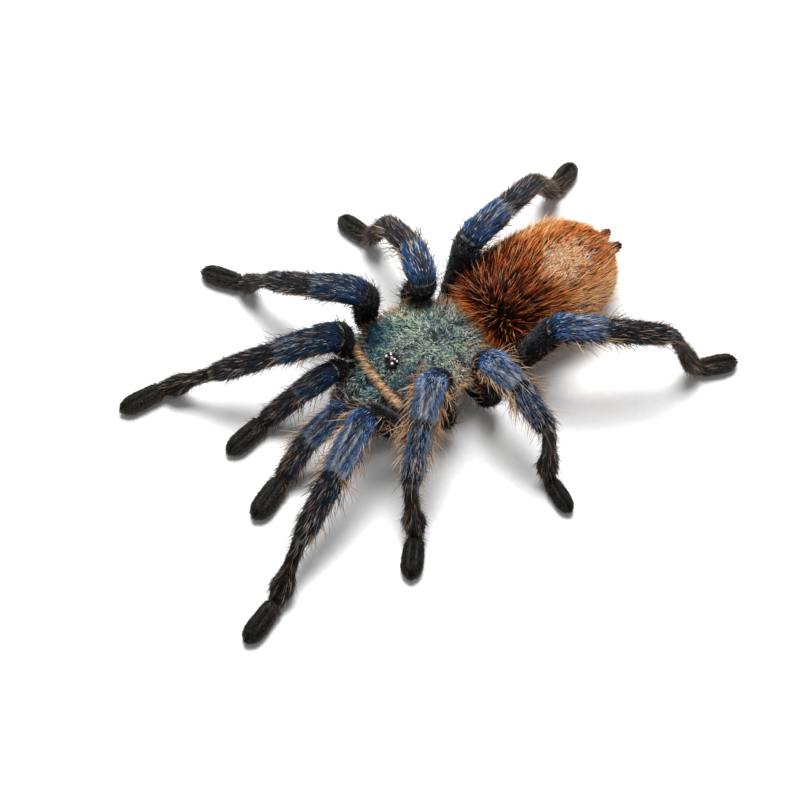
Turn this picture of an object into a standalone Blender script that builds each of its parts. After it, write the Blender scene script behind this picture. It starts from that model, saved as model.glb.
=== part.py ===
"""Tarantula, a dry specimen that stands on its eight feet with its palps down in front.

The body lies along Y with the head at -Y, the animal's left side is at +X, and the ground is Z = 0.
Lengths below are millimetres, angles are degrees, and every solid reaches the tips of the coat of hair.
"""
import math

import bpy
import bmesh
from mathutils import Vector

MM = 0.001

# Carapace, the shield over the front of the body, measured from the groove in its middle.
CARAPACE_HALF_WIDTH = 10.2
CARAPACE_FRONT = 11.4
CARAPACE_REAR = 10.8
CARAPACE_RIM_HEIGHT = 9.9
CARAPACE_RIM_THICKNESS = 1.2
CARAPACE_DOME = 3.6
DOME_SHARPNESS = 0.8
HEAD_RISE = 1.1
HEAD_Y = -6.0
HEAD_SPREAD = (4.6, 4.2)
GROOVE_COUNT = 10
GROOVE_DEPTH = 0.7
GROOVE_NARROWNESS = 3
FOVEA_DEPTH = 0.9
FOVEA_SPREAD = 0.16
FRONT_BLUNTNESS = 4.2
REAR_BLUNTNESS = 2.2
FRONT_NARROWING = 0.16
CARAPACE_SPOKES = 44
CARAPACE_RING_SHARES = (0.14, 0.34, 0.54, 0.72, 0.87, 0.96)
RIM_ROUNDING = 0.3

# The body under the carapace, which ends in the flat breastplate between the legs.
CORE_SHARE = 0.78
CORE_FRONT_SHARE = 0.97
CORE_FRONT_SHARPNESS = 60
BREASTPLATE_HEIGHT = 3.6
BREASTPLATE_SHARE = 0.8
BREASTPLATE_EDGE = 1.0

# The black dome that carries the eyes.
EYE_DOME_SIZE = (3.3, 2.6, 2.6)
EYE_DOME_Y = -8.3
EYE_DOME_LIFT = 0.1
EYE_DOME_SIDES = 12
EYE_DOME_RINGS = 8

# Abdomen, an egg with a short stalk in front.
ABDOMEN_CENTRE = (0.5, 26.9, 9.7)
ABDOMEN_HALF_LENGTH = 14.8
ABDOMEN_HALF_WIDTH = 11.0
ABDOMEN_HALF_HEIGHT = 8.9
ABDOMEN_FRONT_BLUNTNESS = 3.4
ABDOMEN_REAR_BLUNTNESS = 2.3
ABDOMEN_SIDES = 20
ABDOMEN_RINGS = 12
STALK_RADIUS = 1.6
STALK_HEIGHT = 6.6
STALK_FRONT = 8.9
STALK_OVERHANG = 0.6

# Spinnerets, the two fingers at the rear end.
SPINNERET_RADIUS = 1.05
SPINNERET_SPREAD = 1.9
SPINNERET_TIP = (43.9, 11.2)
SPINNERET_CLEARANCE = 0.35
SPINNERET_RISE = 0.6
SPINNERET_TOE_IN = 0.8
SPINNERET_TIP_SHARE = 0.6

# Chelicerae, the two jaw bases, each with a folded fang: a path of offset from the middle, Y and Z, then
# half width and half height along it.
CHELICERA_PATH = ((2.5, -11.8, 6.9), (2.4, -16.6, 6.2), (2.2, -18.7, 3.0), (1.7, -16.2, 1.0))
CHELICERA_GIRTH = ((0.0, 2.2, 3.3), (0.4, 2.2, 3.2), (1.0, 1.9, 2.4), (1.6, 1.3, 1.5), (2.0, 0.9, 0.9),
                   (2.5, 0.6, 0.6), (3.0, 0.2, 0.2))

# Where each pair of limbs leaves the body: bearing from straight ahead and distance from the middle.
HIP_HEIGHT = 4.0
COXA_START = 9.4
COXA_HEIGHT = 4.8
HIPS = {
    "palp": (28, 15.1),
    "leg_1": (46, 15.5),
    "leg_2": (72, 14.5),
    "leg_3": (112, 15.5),
    "leg_4": (141, 16.0),
}

# Lengths of femur, patella, tibia, metatarsus and tarsus. A palp has no metatarsus.
SEGMENTS = {
    "palp": (12.4, 9.2, 9.6, 8.8),
    "leg_1": (16.8, 12.3, 14.3, 11.8, 8.7),
    "leg_2": (16.4, 10.8, 12.4, 10.6, 8.0),
    "leg_3": (15.3, 9.1, 10.4, 12.3, 7.2),
    "leg_4": (17.7, 9.5, 13.1, 14.5, 7.5),
}

# How each limb stands. A bearing is counted from straight ahead towards the animal's left.
# A femur steeper than 90 leans back over the body. The last two segments drop to the ground by themselves.
STANCE = {
    "leg_1_left": {"bearings": (-10, 26, 26, 31, 22), "pitches": (57, -21, -24)},
    "leg_2_left": {"bearings": (82, 41, 45, 66, 50), "pitches": (107, -16, -26)},
    "leg_3_left": {"bearings": (103, 103, 93, 59, 86), "pitches": (103, -10, -19)},
    "leg_4_left": {"bearings": (146, 146, 150, 152, 160), "pitches": (62, -4, -15)},
    "palp_left": {"bearings": (-22, -4, 11, 23), "pitches": (49, -30)},
    "leg_1_right": {"bearings": (44, -23, -33, -39, -5), "pitches": (69, -15, -31)},
    "leg_2_right": {"bearings": (-120, -52, -64, -74, -55), "pitches": (99, -18, -32)},
    "leg_3_right": {"bearings": (-94, -105, -93, -82, -75), "pitches": (116, 1, -25)},
    "leg_4_right": {"bearings": (178, -166, -158, -157, -157), "pitches": (75, -5, -24)},
    "palp_right": {"bearings": (36, -18, -16, 10), "pitches": (60, -40)},
}

# Half width and half height along a limb. Whole numbers are joints: 0 body, 1 hip, 2 knee, then one for each
# segment, so the last is the tip.
LEG_GIRTH = (
    (0.0, 1.2, 1.7), (0.5, 1.7, 2.0), (1.0, 2.0, 2.0), (1.3, 2.3, 2.3), (1.7, 2.9, 2.8), (2.0, 3.2, 2.9),
    (2.3, 2.8, 2.6), (2.6, 2.9, 2.6), (2.9, 2.7, 2.4), (3.0, 2.4, 2.2), (3.3, 2.5, 2.3), (3.7, 2.4, 2.2),
    (4.0, 1.9, 1.8), (4.4, 1.8, 1.7), (4.9, 1.9, 1.7), (5.0, 1.8, 1.7), (5.3, 2.0, 2.0), (5.8, 2.2, 1.8),
    (6.0, 1.8, 1.6),
)
PALP_GIRTH = (
    (0.0, 1.1, 1.4), (0.5, 1.4, 1.6), (1.0, 1.6, 1.6), (1.4, 1.7, 1.8), (2.0, 2.4, 2.3), (2.5, 2.5, 2.3),
    (3.0, 2.2, 2.0), (3.4, 2.3, 2.1), (3.9, 2.1, 1.9), (4.0, 2.0, 1.9), (4.3, 2.2, 2.0), (4.8, 2.3, 1.8),
    (5.0, 1.9, 1.6),
)
LIMB_SIDES = 10
FOOT_HEIGHT = 2.1
TIP_HEIGHT = 1.6
TIP_NOTCH = 0.8
SOLE_DEPTH = 0.45
RINGS_PER_SEGMENT = 3
DEGREES_PER_BEND_RING = 38
BEND_RADIUS_SHARE = 1.08

# Locks of hair: how far each stands out of the coat and how far it leans towards the tail or the toes.
# They start a little out from the hip, stop short of the foot pad and leave the hollow of the knee free.
LEG_LOCK_SHARE = 0.32
LEG_LOCK_LEAN = 0.5
LEG_LOCKS_START = 1.6
LEG_LOCKS_SHORT_OF_FOOT = 0.15
KNEE_HOLLOW_END = 2.6
KNEE_HOLLOW_FACING = 0.1
ABDOMEN_LOCK = 1.5
ABDOMEN_LOCK_LEAN = 1.0
ABDOMEN_BARE_FRONT_ROWS = 3

# Soft parts give way to a limb that leans on them: the room left round the limb, and the step they draw
# back by. The belly hangs just clear of the ground.
LIMB_CLEARANCE = 0.65
DRAW_BACK = 0.15
BELLY_CLEARANCE = 0.35

COLOURS = {
    "cephalothorax": (0.085, 0.145, 0.130),
    "abdomen": (0.330, 0.105, 0.025),
    "spinneret": (0.480, 0.150, 0.035),
    "chelicera": (0.065, 0.085, 0.075),
    "palp": (0.030, 0.045, 0.075),
    "leg": (0.014, 0.026, 0.075),
}
COAT_ROUGHNESS = 0.75


def clear_scene():
    for thing in list(bpy.data.objects):
        bpy.data.objects.remove(thing, do_unlink=True)


def coat_material(name, colour):
    """Hair over dry shell: rough and not metallic."""
    material = bpy.data.materials.new(name)
    material.use_nodes = True
    shader = material.node_tree.nodes["Principled BSDF"]
    shader.inputs["Base Color"].default_value = (*colour, 1.0)
    shader.inputs["Roughness"].default_value = COAT_ROUGHNESS
    shader.inputs["Metallic"].default_value = 0.0
    return material


def finish_object(name, bm, kind):
    """Turn a bmesh in millimetres into a named object in metres with its own coat material."""
    bmesh.ops.recalc_face_normals(bm, faces=bm.faces)
    bmesh.ops.scale(bm, vec=(MM, MM, MM), verts=bm.verts)
    mesh = bpy.data.meshes.new(name)
    bm.to_mesh(mesh)
    bm.free()
    mesh.materials.append(coat_material(name + " coat", COLOURS[kind]))
    mesh.shade_smooth()
    thing = bpy.data.objects.new(name, mesh)
    bpy.context.collection.objects.link(thing)
    return thing


def skin(rings, start, end):
    """Join rings of points with quads and close both ends on a point."""
    bm = bmesh.new()
    rows = [[bm.verts.new(point) for point in ring] for ring in rings]
    count = len(rows[0])
    quads = []
    for lower, upper in zip(rows, rows[1:]):
        quads.append([bm.faces.new((lower[i], lower[(i + 1) % count], upper[(i + 1) % count], upper[i]))
                      for i in range(count)])
    for row, point in ((rows[0], start), (rows[-1], end)):
        centre = bm.verts.new(point)
        for i in range(count):
            bm.faces.new((row[i], row[(i + 1) % count], centre))
    bmesh.ops.recalc_face_normals(bm, faces=bm.faces)
    return bm, quads


def lock_tip(face, height, lean):
    return face.calc_center_median() + face.normal * height + lean


def raise_lock(bm, face, tip):
    """Pull the middle of a quad out into a pointed lock of hair that leans along the coat."""
    spokes = bmesh.ops.poke(bm, faces=[face])
    spokes["verts"][0].co = tip


def direction(bearing, pitch):
    bearing, pitch = math.radians(bearing), math.radians(pitch)
    level = Vector((math.sin(bearing), -math.cos(bearing), 0.0))
    return level * math.cos(pitch) + Vector((0.0, 0.0, math.sin(pitch)))


def interpolate(table, position):
    """Half width and half height at a place along a limb."""
    for (a, *low), (b, *high) in zip(table, table[1:]):
        if position <= b:
            share = (position - a) / (b - a)
            return [p + (q - p) * share for p, q in zip(low, high)]
    return list(table[-1][1:])


def limb_joints(name):
    """Body end, hip, knee and the other joints of one limb, down to its tip."""
    pair, side = name.rsplit("_", 1)
    sign = 1 if side == "left" else -1
    bearing, reach = HIPS[pair]
    out = direction(sign * bearing, 0)
    joints = [out * COXA_START + Vector((0, 0, COXA_HEIGHT)), out * reach + Vector((0, 0, HIP_HEIGHT))]
    lengths = SEGMENTS[pair]
    stance = STANCE[name]
    pitches = list(stance["pitches"])
    for heading, length in zip(stance["bearings"], lengths):
        left = len(lengths) - len(joints) + 2
        if pitches:
            pitch = pitches.pop(0)
        else:
            floor = FOOT_HEIGHT if left == 2 else TIP_HEIGHT
            pitch = math.degrees(math.asin((floor - joints[-1].z) / length))
        joints.append(joints[-1] + direction(heading, pitch) * length)
    return joints


def rounded_path(joints, girth):
    """Places along a limb: position, heading and place number, with each joint bent round an arc."""
    places = []
    cuts = [0.0] * len(joints)
    bends = [None] * len(joints)
    for k in range(1, len(joints) - 1):
        before = (joints[k] - joints[k - 1]).normalized()
        after = (joints[k + 1] - joints[k]).normalized()
        angle = before.angle(after)
        radius = interpolate(girth, k)[1] * BEND_RADIUS_SHARE
        cuts[k] = radius * math.tan(angle / 2)
        bends[k] = (before, after, angle, radius)
    for k in range(len(joints) - 1):
        ahead = (joints[k + 1] - joints[k]).normalized()
        length = (joints[k + 1] - joints[k]).length
        first = cuts[k] / length
        last = 1 - cuts[k + 1] / length
        for step in range(RINGS_PER_SEGMENT):
            share = first + (last - first) * (step + 0.5 * (k > 0)) / (RINGS_PER_SEGMENT - 0.5 * (k == 0))
            places.append((joints[k] + ahead * (share * length), ahead, k + share))
        if bends[k + 1] is None:
            places.append((joints[k + 1], ahead, k + 1.0))
            continue
        before, after, angle, radius = bends[k + 1]
        turn_axis = before.cross(after).normalized()
        entry = joints[k + 1] - before * cuts[k + 1]
        inward = turn_axis.cross(before)
        count = max(1, round(math.degrees(angle) / DEGREES_PER_BEND_RING))
        for step in range(count):
            share = (step + 0.5) / count
            turned = angle * share
            place = entry + before * (radius * math.sin(turned)) + inward * (radius * (1 - math.cos(turned)))
            heading = before * math.cos(turned) + inward * math.sin(turned)
            places.append((place, heading, k + 1 + (share - 0.5) * cuts[k + 1] / length))
    return places


def limb_rings(places, girth, side):
    """An oval of points round each place along the limb."""
    rings = []
    for place, heading, position in places:
        across = (side - heading * side.dot(heading)).normalized()
        up = across.cross(heading)
        half_width, half_height = interpolate(girth, position)
        ring = []
        for i in range(LIMB_SIDES):
            turn = 2 * math.pi * (i + 0.5) / LIMB_SIDES
            ring.append(place + across * (half_width * math.cos(turn)) + up * (half_height * math.sin(turn)))
        rings.append(ring)
    return rings


def limb_girth(name):
    return PALP_GIRTH if name.startswith("palp") else LEG_GIRTH


def limb_tubes():
    """Every limb's middle line with its thickness, for what has to keep clear of it."""
    tubes = []
    for name in STANCE:
        girth = limb_girth(name)
        stops = [(place, max(interpolate(girth, position)))
                 for place, _, position in rounded_path(limb_joints(name), girth)]
        tubes.extend(zip(stops, stops[1:]))
    return tubes


def is_clear(point, tubes):
    for (start, thick_start), (end, thick_end) in tubes:
        along = end - start
        share = min(1.0, max(0.0, (point - start).dot(along) / along.length_squared))
        thick = thick_start + (thick_end - thick_start) * share
        if (point - start - along * share).length < thick + LIMB_CLEARANCE:
            return False
    return True


def draw_back(point, home, tubes):
    """Move a point towards its home until no limb is in its way."""
    step = (home - point).normalized() * DRAW_BACK
    tries = int((home - point).length / DRAW_BACK)
    for _ in range(tries):
        if is_clear(point, tubes):
            break
        point = point + step
    return point


def make_limb(name):
    """One leg or palp, from its base under the carapace to the flat pad of its foot."""
    girth = limb_girth(name)
    joints = limb_joints(name)
    foot = len(joints) - 2
    side = direction(STANCE[name]["bearings"][2] + 90, 0)
    places = rounded_path(joints, girth)
    rings = limb_rings(places, girth, side)
    toe = places[-1][0] - places[-1][1] * TIP_NOTCH
    bm, quads = skin(rings, places[0][0], toe)
    knee_hollow = ((joints[1] - joints[2]).normalized() + (joints[3] - joints[2]).normalized()).normalized()
    for number, (row, (_, heading, position)) in enumerate(zip(quads, places)):
        if position < LEG_LOCKS_START or position > foot - LEG_LOCKS_SHORT_OF_FOOT:
            continue
        height = LEG_LOCK_SHARE * interpolate(girth, position)[0]
        for i, face in enumerate(row):
            in_hollow = position < KNEE_HOLLOW_END and face.normal.dot(knee_hollow) > KNEE_HOLLOW_FACING
            if (i + number) % 2 and not in_hollow:
                raise_lock(bm, face, lock_tip(face, height, heading * LEG_LOCK_LEAN))
    for vert in bm.verts:
        if vert.co.z < SOLE_DEPTH:
            vert.co.z = 0.0
    return finish_object(name, bm, "palp" if name.startswith("palp") else "leg")


def make_chelicera(name, sign, tubes):
    """Jaw base and fang in one, folded down and back."""
    joints = [Vector((sign * x, y, z)) for x, y, z in CHELICERA_PATH]
    places = rounded_path(joints, CHELICERA_GIRTH)
    rings = limb_rings(places, CHELICERA_GIRTH, Vector((1, 0, 0)))
    rings = [[draw_back(point, place[0], tubes) for point in ring] for ring, place in zip(rings, places)]
    bm, _ = skin(rings, places[0][0], places[-1][0])
    return finish_object(name, bm, "chelicera")


def carapace_outline(turn):
    """A point on the rim. Turn 0 is the middle of the front edge."""
    forward = math.cos(turn)
    sideways = math.sin(turn)
    power = 2 / (FRONT_BLUNTNESS if forward > 0 else REAR_BLUNTNESS)
    reach = CARAPACE_FRONT if forward > 0 else CARAPACE_REAR
    half_width = CARAPACE_HALF_WIDTH * (1 - FRONT_NARROWING * max(0.0, forward) ** 2)
    x = math.copysign(abs(sideways) ** power, sideways) * half_width
    y = -math.copysign(abs(forward) ** power, forward) * reach
    return x, y


def carapace_height(x, y, share, turn):
    """Height of the shield: a dome, a raised head, the middle pit and grooves that spread out from it."""
    height = CARAPACE_RIM_HEIGHT + CARAPACE_DOME * (1 - share ** 2) ** DOME_SHARPNESS
    height += HEAD_RISE * math.exp(-((x / HEAD_SPREAD[0]) ** 2) - ((y - HEAD_Y) / HEAD_SPREAD[1]) ** 2)
    height -= FOVEA_DEPTH * math.exp(-(share / FOVEA_SPREAD) ** 2)
    groove = max(0.0, math.cos(GROOVE_COUNT * turn)) ** GROOVE_NARROWNESS
    height -= GROOVE_DEPTH * groove * math.sin(math.pi * share)
    return height


def make_cephalothorax(tubes):
    """Carapace, core and breastplate in one, with the eye dome joined on."""
    turns = [2 * math.pi * i / CARAPACE_SPOKES for i in range(CARAPACE_SPOKES)]
    outline = [carapace_outline(turn) for turn in turns]
    rings = []
    for share in CARAPACE_RING_SHARES:
        rings.append([Vector((x * share, y * share, carapace_height(x * share, y * share, share, turn)))
                      for (x, y), turn in zip(outline, turns)])
    underside = CARAPACE_RIM_HEIGHT - CARAPACE_RIM_THICKNESS
    for height in (CARAPACE_RIM_HEIGHT - RIM_ROUNDING, underside):
        rings.append([Vector((x, y, height)) for x, y in outline])
    core = [CORE_SHARE + (CORE_FRONT_SHARE - CORE_SHARE) * max(0.0, math.cos(turn)) ** CORE_FRONT_SHARPNESS
            for turn in turns]
    for ease, height in ((1.0, underside - RIM_ROUNDING), (1.0, BREASTPLATE_HEIGHT + BREASTPLATE_EDGE),
                         (BREASTPLATE_SHARE, BREASTPLATE_HEIGHT)):
        rings.append([Vector((x * share * ease, y * share * ease, height))
                      for (x, y), share in zip(outline, core)])
    rings = [[draw_back(point, Vector((0, 0, point.z)), tubes) for point in ring] for ring in rings]
    top = Vector((0, 0, carapace_height(0, 0, 0.0, math.pi / 2)))
    bm, _ = skin(rings, top, Vector((0, 0, BREASTPLATE_HEIGHT)))
    shield = finish_object("cephalothorax", bm, "cephalothorax")

    dome = bmesh.new()
    bmesh.ops.create_uvsphere(dome, u_segments=EYE_DOME_SIDES, v_segments=EYE_DOME_RINGS, radius=1.0)
    bmesh.ops.scale(dome, vec=[size / 2 for size in EYE_DOME_SIZE], verts=dome.verts)
    base = carapace_height(0, EYE_DOME_Y, -EYE_DOME_Y / CARAPACE_FRONT, 0.0)
    bmesh.ops.translate(dome, vec=(0, EYE_DOME_Y, base + EYE_DOME_LIFT), verts=dome.verts)
    eyes = finish_object("eye_dome_guide", dome, "cephalothorax")
    eyes.hide_render = True
    eyes.display_type = "WIRE"
    union = shield.modifiers.new("eye dome", "BOOLEAN")
    union.operation = "UNION"
    union.solver = "EXACT"
    union.object = eyes
    return shield


def make_abdomen(tubes):
    """Stalk and egg in one body, with locks of hair swept to the rear."""
    centre = Vector(ABDOMEN_CENTRE)
    rings = []
    sides = [2 * math.pi * (i + 0.5) / ABDOMEN_SIDES for i in range(ABDOMEN_SIDES)]
    for y in (STALK_FRONT, centre.y - ABDOMEN_HALF_LENGTH - STALK_OVERHANG):
        rings.append([Vector((STALK_RADIUS * math.cos(turn), y, STALK_HEIGHT + STALK_RADIUS * math.sin(turn)))
                      for turn in sides])
    for step in range(ABDOMEN_RINGS):
        turn_along = math.pi * (step + 0.75) / (ABDOMEN_RINGS + 0.5)
        forward = math.cos(turn_along)
        power = 2 / (ABDOMEN_FRONT_BLUNTNESS if forward > 0 else ABDOMEN_REAR_BLUNTNESS)
        y = centre.y - ABDOMEN_HALF_LENGTH * math.copysign(abs(forward) ** power, forward)
        size = math.sin(turn_along) ** power
        middle = Vector((centre.x, y, centre.z))
        ring = [middle + size * Vector((ABDOMEN_HALF_WIDTH * math.cos(turn), 0,
                                        ABDOMEN_HALF_HEIGHT * math.sin(turn))) for turn in sides]
        rings.append([draw_back(point, middle, tubes) for point in ring])
    bm, quads = skin(rings, Vector((0, STALK_FRONT, STALK_HEIGHT)),
                     centre + Vector((0, ABDOMEN_HALF_LENGTH, 0)))
    for number, row in enumerate(quads[ABDOMEN_BARE_FRONT_ROWS:-1]):
        for i, face in enumerate(row):
            tip = lock_tip(face, ABDOMEN_LOCK, Vector((0, ABDOMEN_LOCK_LEAN, 0)))
            if (i + number) % 2 and is_clear(tip, tubes):
                raise_lock(bm, face, tip)
    for vert in bm.verts:
        vert.co.z = max(vert.co.z, BELLY_CLEARANCE)
    return finish_object("abdomen", bm, "abdomen")


def make_spinneret(name, sign):
    """A blunt finger that stands off the rear end."""
    rear = ABDOMEN_CENTRE[1] + ABDOMEN_HALF_LENGTH
    tip_y, tip_z = SPINNERET_TIP
    start = Vector((ABDOMEN_CENTRE[0] + sign * SPINNERET_SPREAD * SPINNERET_TOE_IN,
                    rear + SPINNERET_CLEARANCE, tip_z - SPINNERET_RISE))
    tip = Vector((ABDOMEN_CENTRE[0] + sign * SPINNERET_SPREAD, tip_y, tip_z))
    tip_radius = SPINNERET_RADIUS * SPINNERET_TIP_SHARE
    girth = ((0.0, SPINNERET_RADIUS, SPINNERET_RADIUS), (0.7, SPINNERET_RADIUS, SPINNERET_RADIUS),
             (1.0, tip_radius, tip_radius))
    places = rounded_path([start, tip], girth)
    end = tip + (tip - start).normalized() * tip_radius * SPINNERET_TIP_SHARE
    bm, _ = skin(limb_rings(places, girth, Vector((1, 0, 0))), start, end)
    return finish_object(name, bm, "spinneret")


def stand_on_origin(things):
    """Hang every solid on one empty, so that the origin is the middle of the footprint."""
    corners = [thing.matrix_world @ vert.co for thing in things for vert in thing.data.vertices]
    middle = [(min(c[axis] for c in corners) + max(c[axis] for c in corners)) / 2 for axis in (0, 1)]
    stand = bpy.data.objects.new("specimen", None)
    bpy.context.collection.objects.link(stand)
    for thing in bpy.data.objects:
        if thing.type == "MESH":
            thing.parent = stand
    stand.location = (-middle[0], -middle[1], 0.0)


def main():
    clear_scene()
    tubes = limb_tubes()
    things = [make_cephalothorax(tubes), make_abdomen(tubes)]
    for side, sign in (("left", 1), ("right", -1)):
        things.append(make_chelicera("chelicera_" + side, sign, tubes))
        things.append(make_spinneret("spinneret_" + side, sign))
    things.extend(make_limb(name) for name in STANCE)
    stand_on_origin(things)


main()
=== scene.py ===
# %% [markdown]
# # A dry tarantula, dressed in its hair
#
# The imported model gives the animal's shape as faceted solids that reach the tips of its coat. This lesson
# replaces each of them with a skin and thousands of small mesh hairs. It works in millimetres, measured from
# the floor under the middle of the carapace, and turns them to metres only when a mesh is made.

# %% The shared frame
import math

import bpy
import numpy as np
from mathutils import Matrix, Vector


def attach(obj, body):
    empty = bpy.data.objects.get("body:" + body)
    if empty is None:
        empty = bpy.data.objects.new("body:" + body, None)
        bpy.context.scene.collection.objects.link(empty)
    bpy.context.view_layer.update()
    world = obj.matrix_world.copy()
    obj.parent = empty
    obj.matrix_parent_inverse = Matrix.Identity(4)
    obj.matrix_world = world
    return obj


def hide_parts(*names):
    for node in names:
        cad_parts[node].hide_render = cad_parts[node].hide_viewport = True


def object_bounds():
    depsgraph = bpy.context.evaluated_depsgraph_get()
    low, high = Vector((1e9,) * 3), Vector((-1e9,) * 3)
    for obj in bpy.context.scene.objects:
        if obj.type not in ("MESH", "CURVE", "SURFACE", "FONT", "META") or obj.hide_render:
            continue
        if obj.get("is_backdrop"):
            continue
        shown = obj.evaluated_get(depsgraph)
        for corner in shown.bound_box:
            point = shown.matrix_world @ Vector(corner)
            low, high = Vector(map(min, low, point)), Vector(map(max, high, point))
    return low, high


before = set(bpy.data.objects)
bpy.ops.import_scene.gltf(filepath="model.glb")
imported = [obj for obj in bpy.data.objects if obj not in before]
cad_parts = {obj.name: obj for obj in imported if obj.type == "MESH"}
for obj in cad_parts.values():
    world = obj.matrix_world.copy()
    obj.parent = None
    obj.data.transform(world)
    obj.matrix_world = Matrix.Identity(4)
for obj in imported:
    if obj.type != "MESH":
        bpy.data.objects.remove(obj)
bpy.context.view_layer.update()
MM = 0.001
# The frame's origin is the middle of the footprint, and this is the carapace's middle seen from there.
STAND_SHIFT = np.array((1.6915, 4.1534, 0.0))

# %% [markdown]
# ## The picture
#
# A specimen is photographed from high in front of its left side, so that the carapace, the abdomen and all
# the legs lie open to the eye. A long lens from 0.6 m keeps the near legs from growing. Standard colour
# handling is chosen because the film-like default dulls the blue and the orange.

# %% Camera
AZIMUTH, ELEVATION = math.radians(56.0), math.radians(60.5)
CAMERA_DISTANCE = 600.0
CAMERA_TARGET = np.array((2.0, -7.2, 0.0)) + STAND_SHIFT
LENS, SENSOR_WIDTH, NEAREST_SEEN = 141.35, 36.0, 10.0
toward_camera = np.array((math.sin(AZIMUTH) * math.cos(ELEVATION), -math.cos(AZIMUTH) * math.cos(ELEVATION),
                          math.sin(ELEVATION)))
camera = bpy.data.objects.new("camera", bpy.data.cameras.new("camera"))
camera.data.lens = LENS
camera.data.sensor_width = SENSOR_WIDTH
camera.data.clip_start = NEAREST_SEEN * MM
camera.location = (CAMERA_TARGET + toward_camera * CAMERA_DISTANCE) * MM
camera.rotation_euler = Vector(toward_camera).to_track_quat("Z", "Y").to_euler()
bpy.context.collection.objects.link(camera)
bpy.context.scene.camera = camera
bpy.context.scene.view_settings.view_transform = "Standard"
print("camera mm", [round(c / MM) for c in camera.location])

# %% [markdown]
# ## Colour and nodes
#
# Paint colours are written as sRGB hex values, and Blender's shaders want linear light, so one function
# turns them. Another adds one node with its settings and links, which keeps every material short enough to
# read.

# %% Colour and node helpers
def linear(colour):
    """Turn an sRGB hex colour into linear light."""
    channels = [int(colour[i:i + 2], 16) / 255 for i in (1, 3, 5)]
    return (*(c / 12.92 if c < 0.0405 else ((c + 0.055) / 1.055) ** 2.4 for c in channels), 1.0)


def add(tree, kind, inputs=None, stops=None, **settings):
    """Add one node. An input is a value, or the output of another node that feeds it."""
    node = tree.nodes.new("ShaderNode" + kind)
    for name, value in settings.items():
        setattr(node, name, value)
    for key, value in (inputs or {}).items():
        if isinstance(value, bpy.types.NodeSocket):
            tree.links.new(value, node.inputs[key])
        else:
            node.inputs[key].default_value = value
    for number, (place, colour) in enumerate(stops or ()):
        elements = node.color_ramp.elements
        stop = elements[number] if number < len(elements) else elements.new(place)
        stop.position = place
        stop.color = linear(colour)
    return node


def start_material(name):
    material = bpy.data.materials.new(name)
    material.use_nodes = True
    tree = material.node_tree
    return material, tree, tree.nodes["Principled BSDF"]


print("mid grey is", round(linear("#808080")[0], 3), "in linear light")

# %% [markdown]
# ## Floor and light
#
# The table is white board, whose faint tooth comes from the paper pulp. One large soft lamp hangs overhead
# and leans a little to the far side, so the shadows are short, soft and fall towards the eye. A pale sky
# fills them.

# %% Floor
# Pressed paper pulp: matt, so it gives back an even white with hardly a gleam. Real card has about ten
# grains to the millimetre, and they are drawn ten times as coarse to show at all.
CARD_GRAINS_PER_MM = 0.9
paper, tree, shader = start_material("White card, matte pulp surface")
tooth = add(tree, "TexNoise", {"Vector": add(tree, "TexCoord").outputs["Object"],
                               "Scale": CARD_GRAINS_PER_MM / MM, "Detail": 4.0})
tone = add(tree, "ValToRGB", {"Fac": tooth.outputs["Fac"]}, stops=[(0.3, "#ebebeb"), (0.7, "#f0f0f0")])
bump = add(tree, "Bump", {"Height": tooth.outputs["Fac"], "Strength": 0.08, "Distance": 0.1 * MM})
tree.links.new(tone.outputs["Color"], shader.inputs["Base Color"])
tree.links.new(bump.outputs["Normal"], shader.inputs["Normal"])
shader.inputs["Roughness"].default_value = 0.9
shader.inputs["Specular IOR Level"].default_value = 0.1
FLOOR_HALF = 4000.0
reach = FLOOR_HALF * MM
corners = [(x * reach, y * reach, 0.0) for x, y in ((-1, -1), (1, -1), (1, 1), (-1, 1))]
floor_mesh = bpy.data.meshes.new("floor")
floor_mesh.from_pydata(corners, [], [(0, 1, 2, 3)])
floor_mesh.materials.append(paper)
floor = bpy.data.objects.new("floor", floor_mesh)
bpy.context.collection.objects.link(floor)
floor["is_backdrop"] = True
print("floor", 2 * reach, "m wide")

# %% Lamp and sky
LAMP_LEAN, LAMP_DISTANCE, LAMP_SIZE, LAMP_POWER = math.radians(20), 900.0, 480.0, 14.5
SKY_STRENGTH = 0.34
lamp_way = np.array((-math.sin(AZIMUTH) * math.sin(LAMP_LEAN), math.cos(AZIMUTH) * math.sin(LAMP_LEAN),
                     math.cos(LAMP_LEAN)))
lamp = bpy.data.objects.new("overhead lamp", bpy.data.lights.new("overhead lamp", "AREA"))
lamp.data.shape = "SQUARE"
lamp.data.size = LAMP_SIZE * MM
lamp.data.energy = LAMP_POWER
lamp.location = (CAMERA_TARGET + lamp_way * LAMP_DISTANCE) * MM
lamp.rotation_euler = Vector(lamp_way).to_track_quat("Z", "Y").to_euler()
bpy.context.collection.objects.link(lamp)
sky = bpy.data.worlds.new("pale sky")
bpy.context.scene.world = sky
sky.use_nodes = True
sky.node_tree.nodes["Background"].inputs["Color"].default_value = linear("#ffffff")
sky.node_tree.nodes["Background"].inputs["Strength"].default_value = SKY_STRENGTH
print("lamp mm", [round(c / MM) for c in lamp.location])

# %% [markdown]
# ## Fading from place to place
#
# Nothing on an animal starts or stops at a line: a colour fades in, and a bulge swells and sinks again. So
# five small tools say how much of a thing there is at a place. One rises over a span. Three are bells: round
# a value, round a spot in space and round a spot seen from above. The last reads a table of places and
# values.

# %% Fading tools
def ease(gap, span):
    """The share of a span that a gap has crossed, from 0 to 1."""
    return np.clip(gap / span, 0, 1)


def bell(value, middle, spread, power=2):
    """1 at the middle, fading to 0 on both sides."""
    return np.exp(-((value - middle) / spread) ** power)


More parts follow.
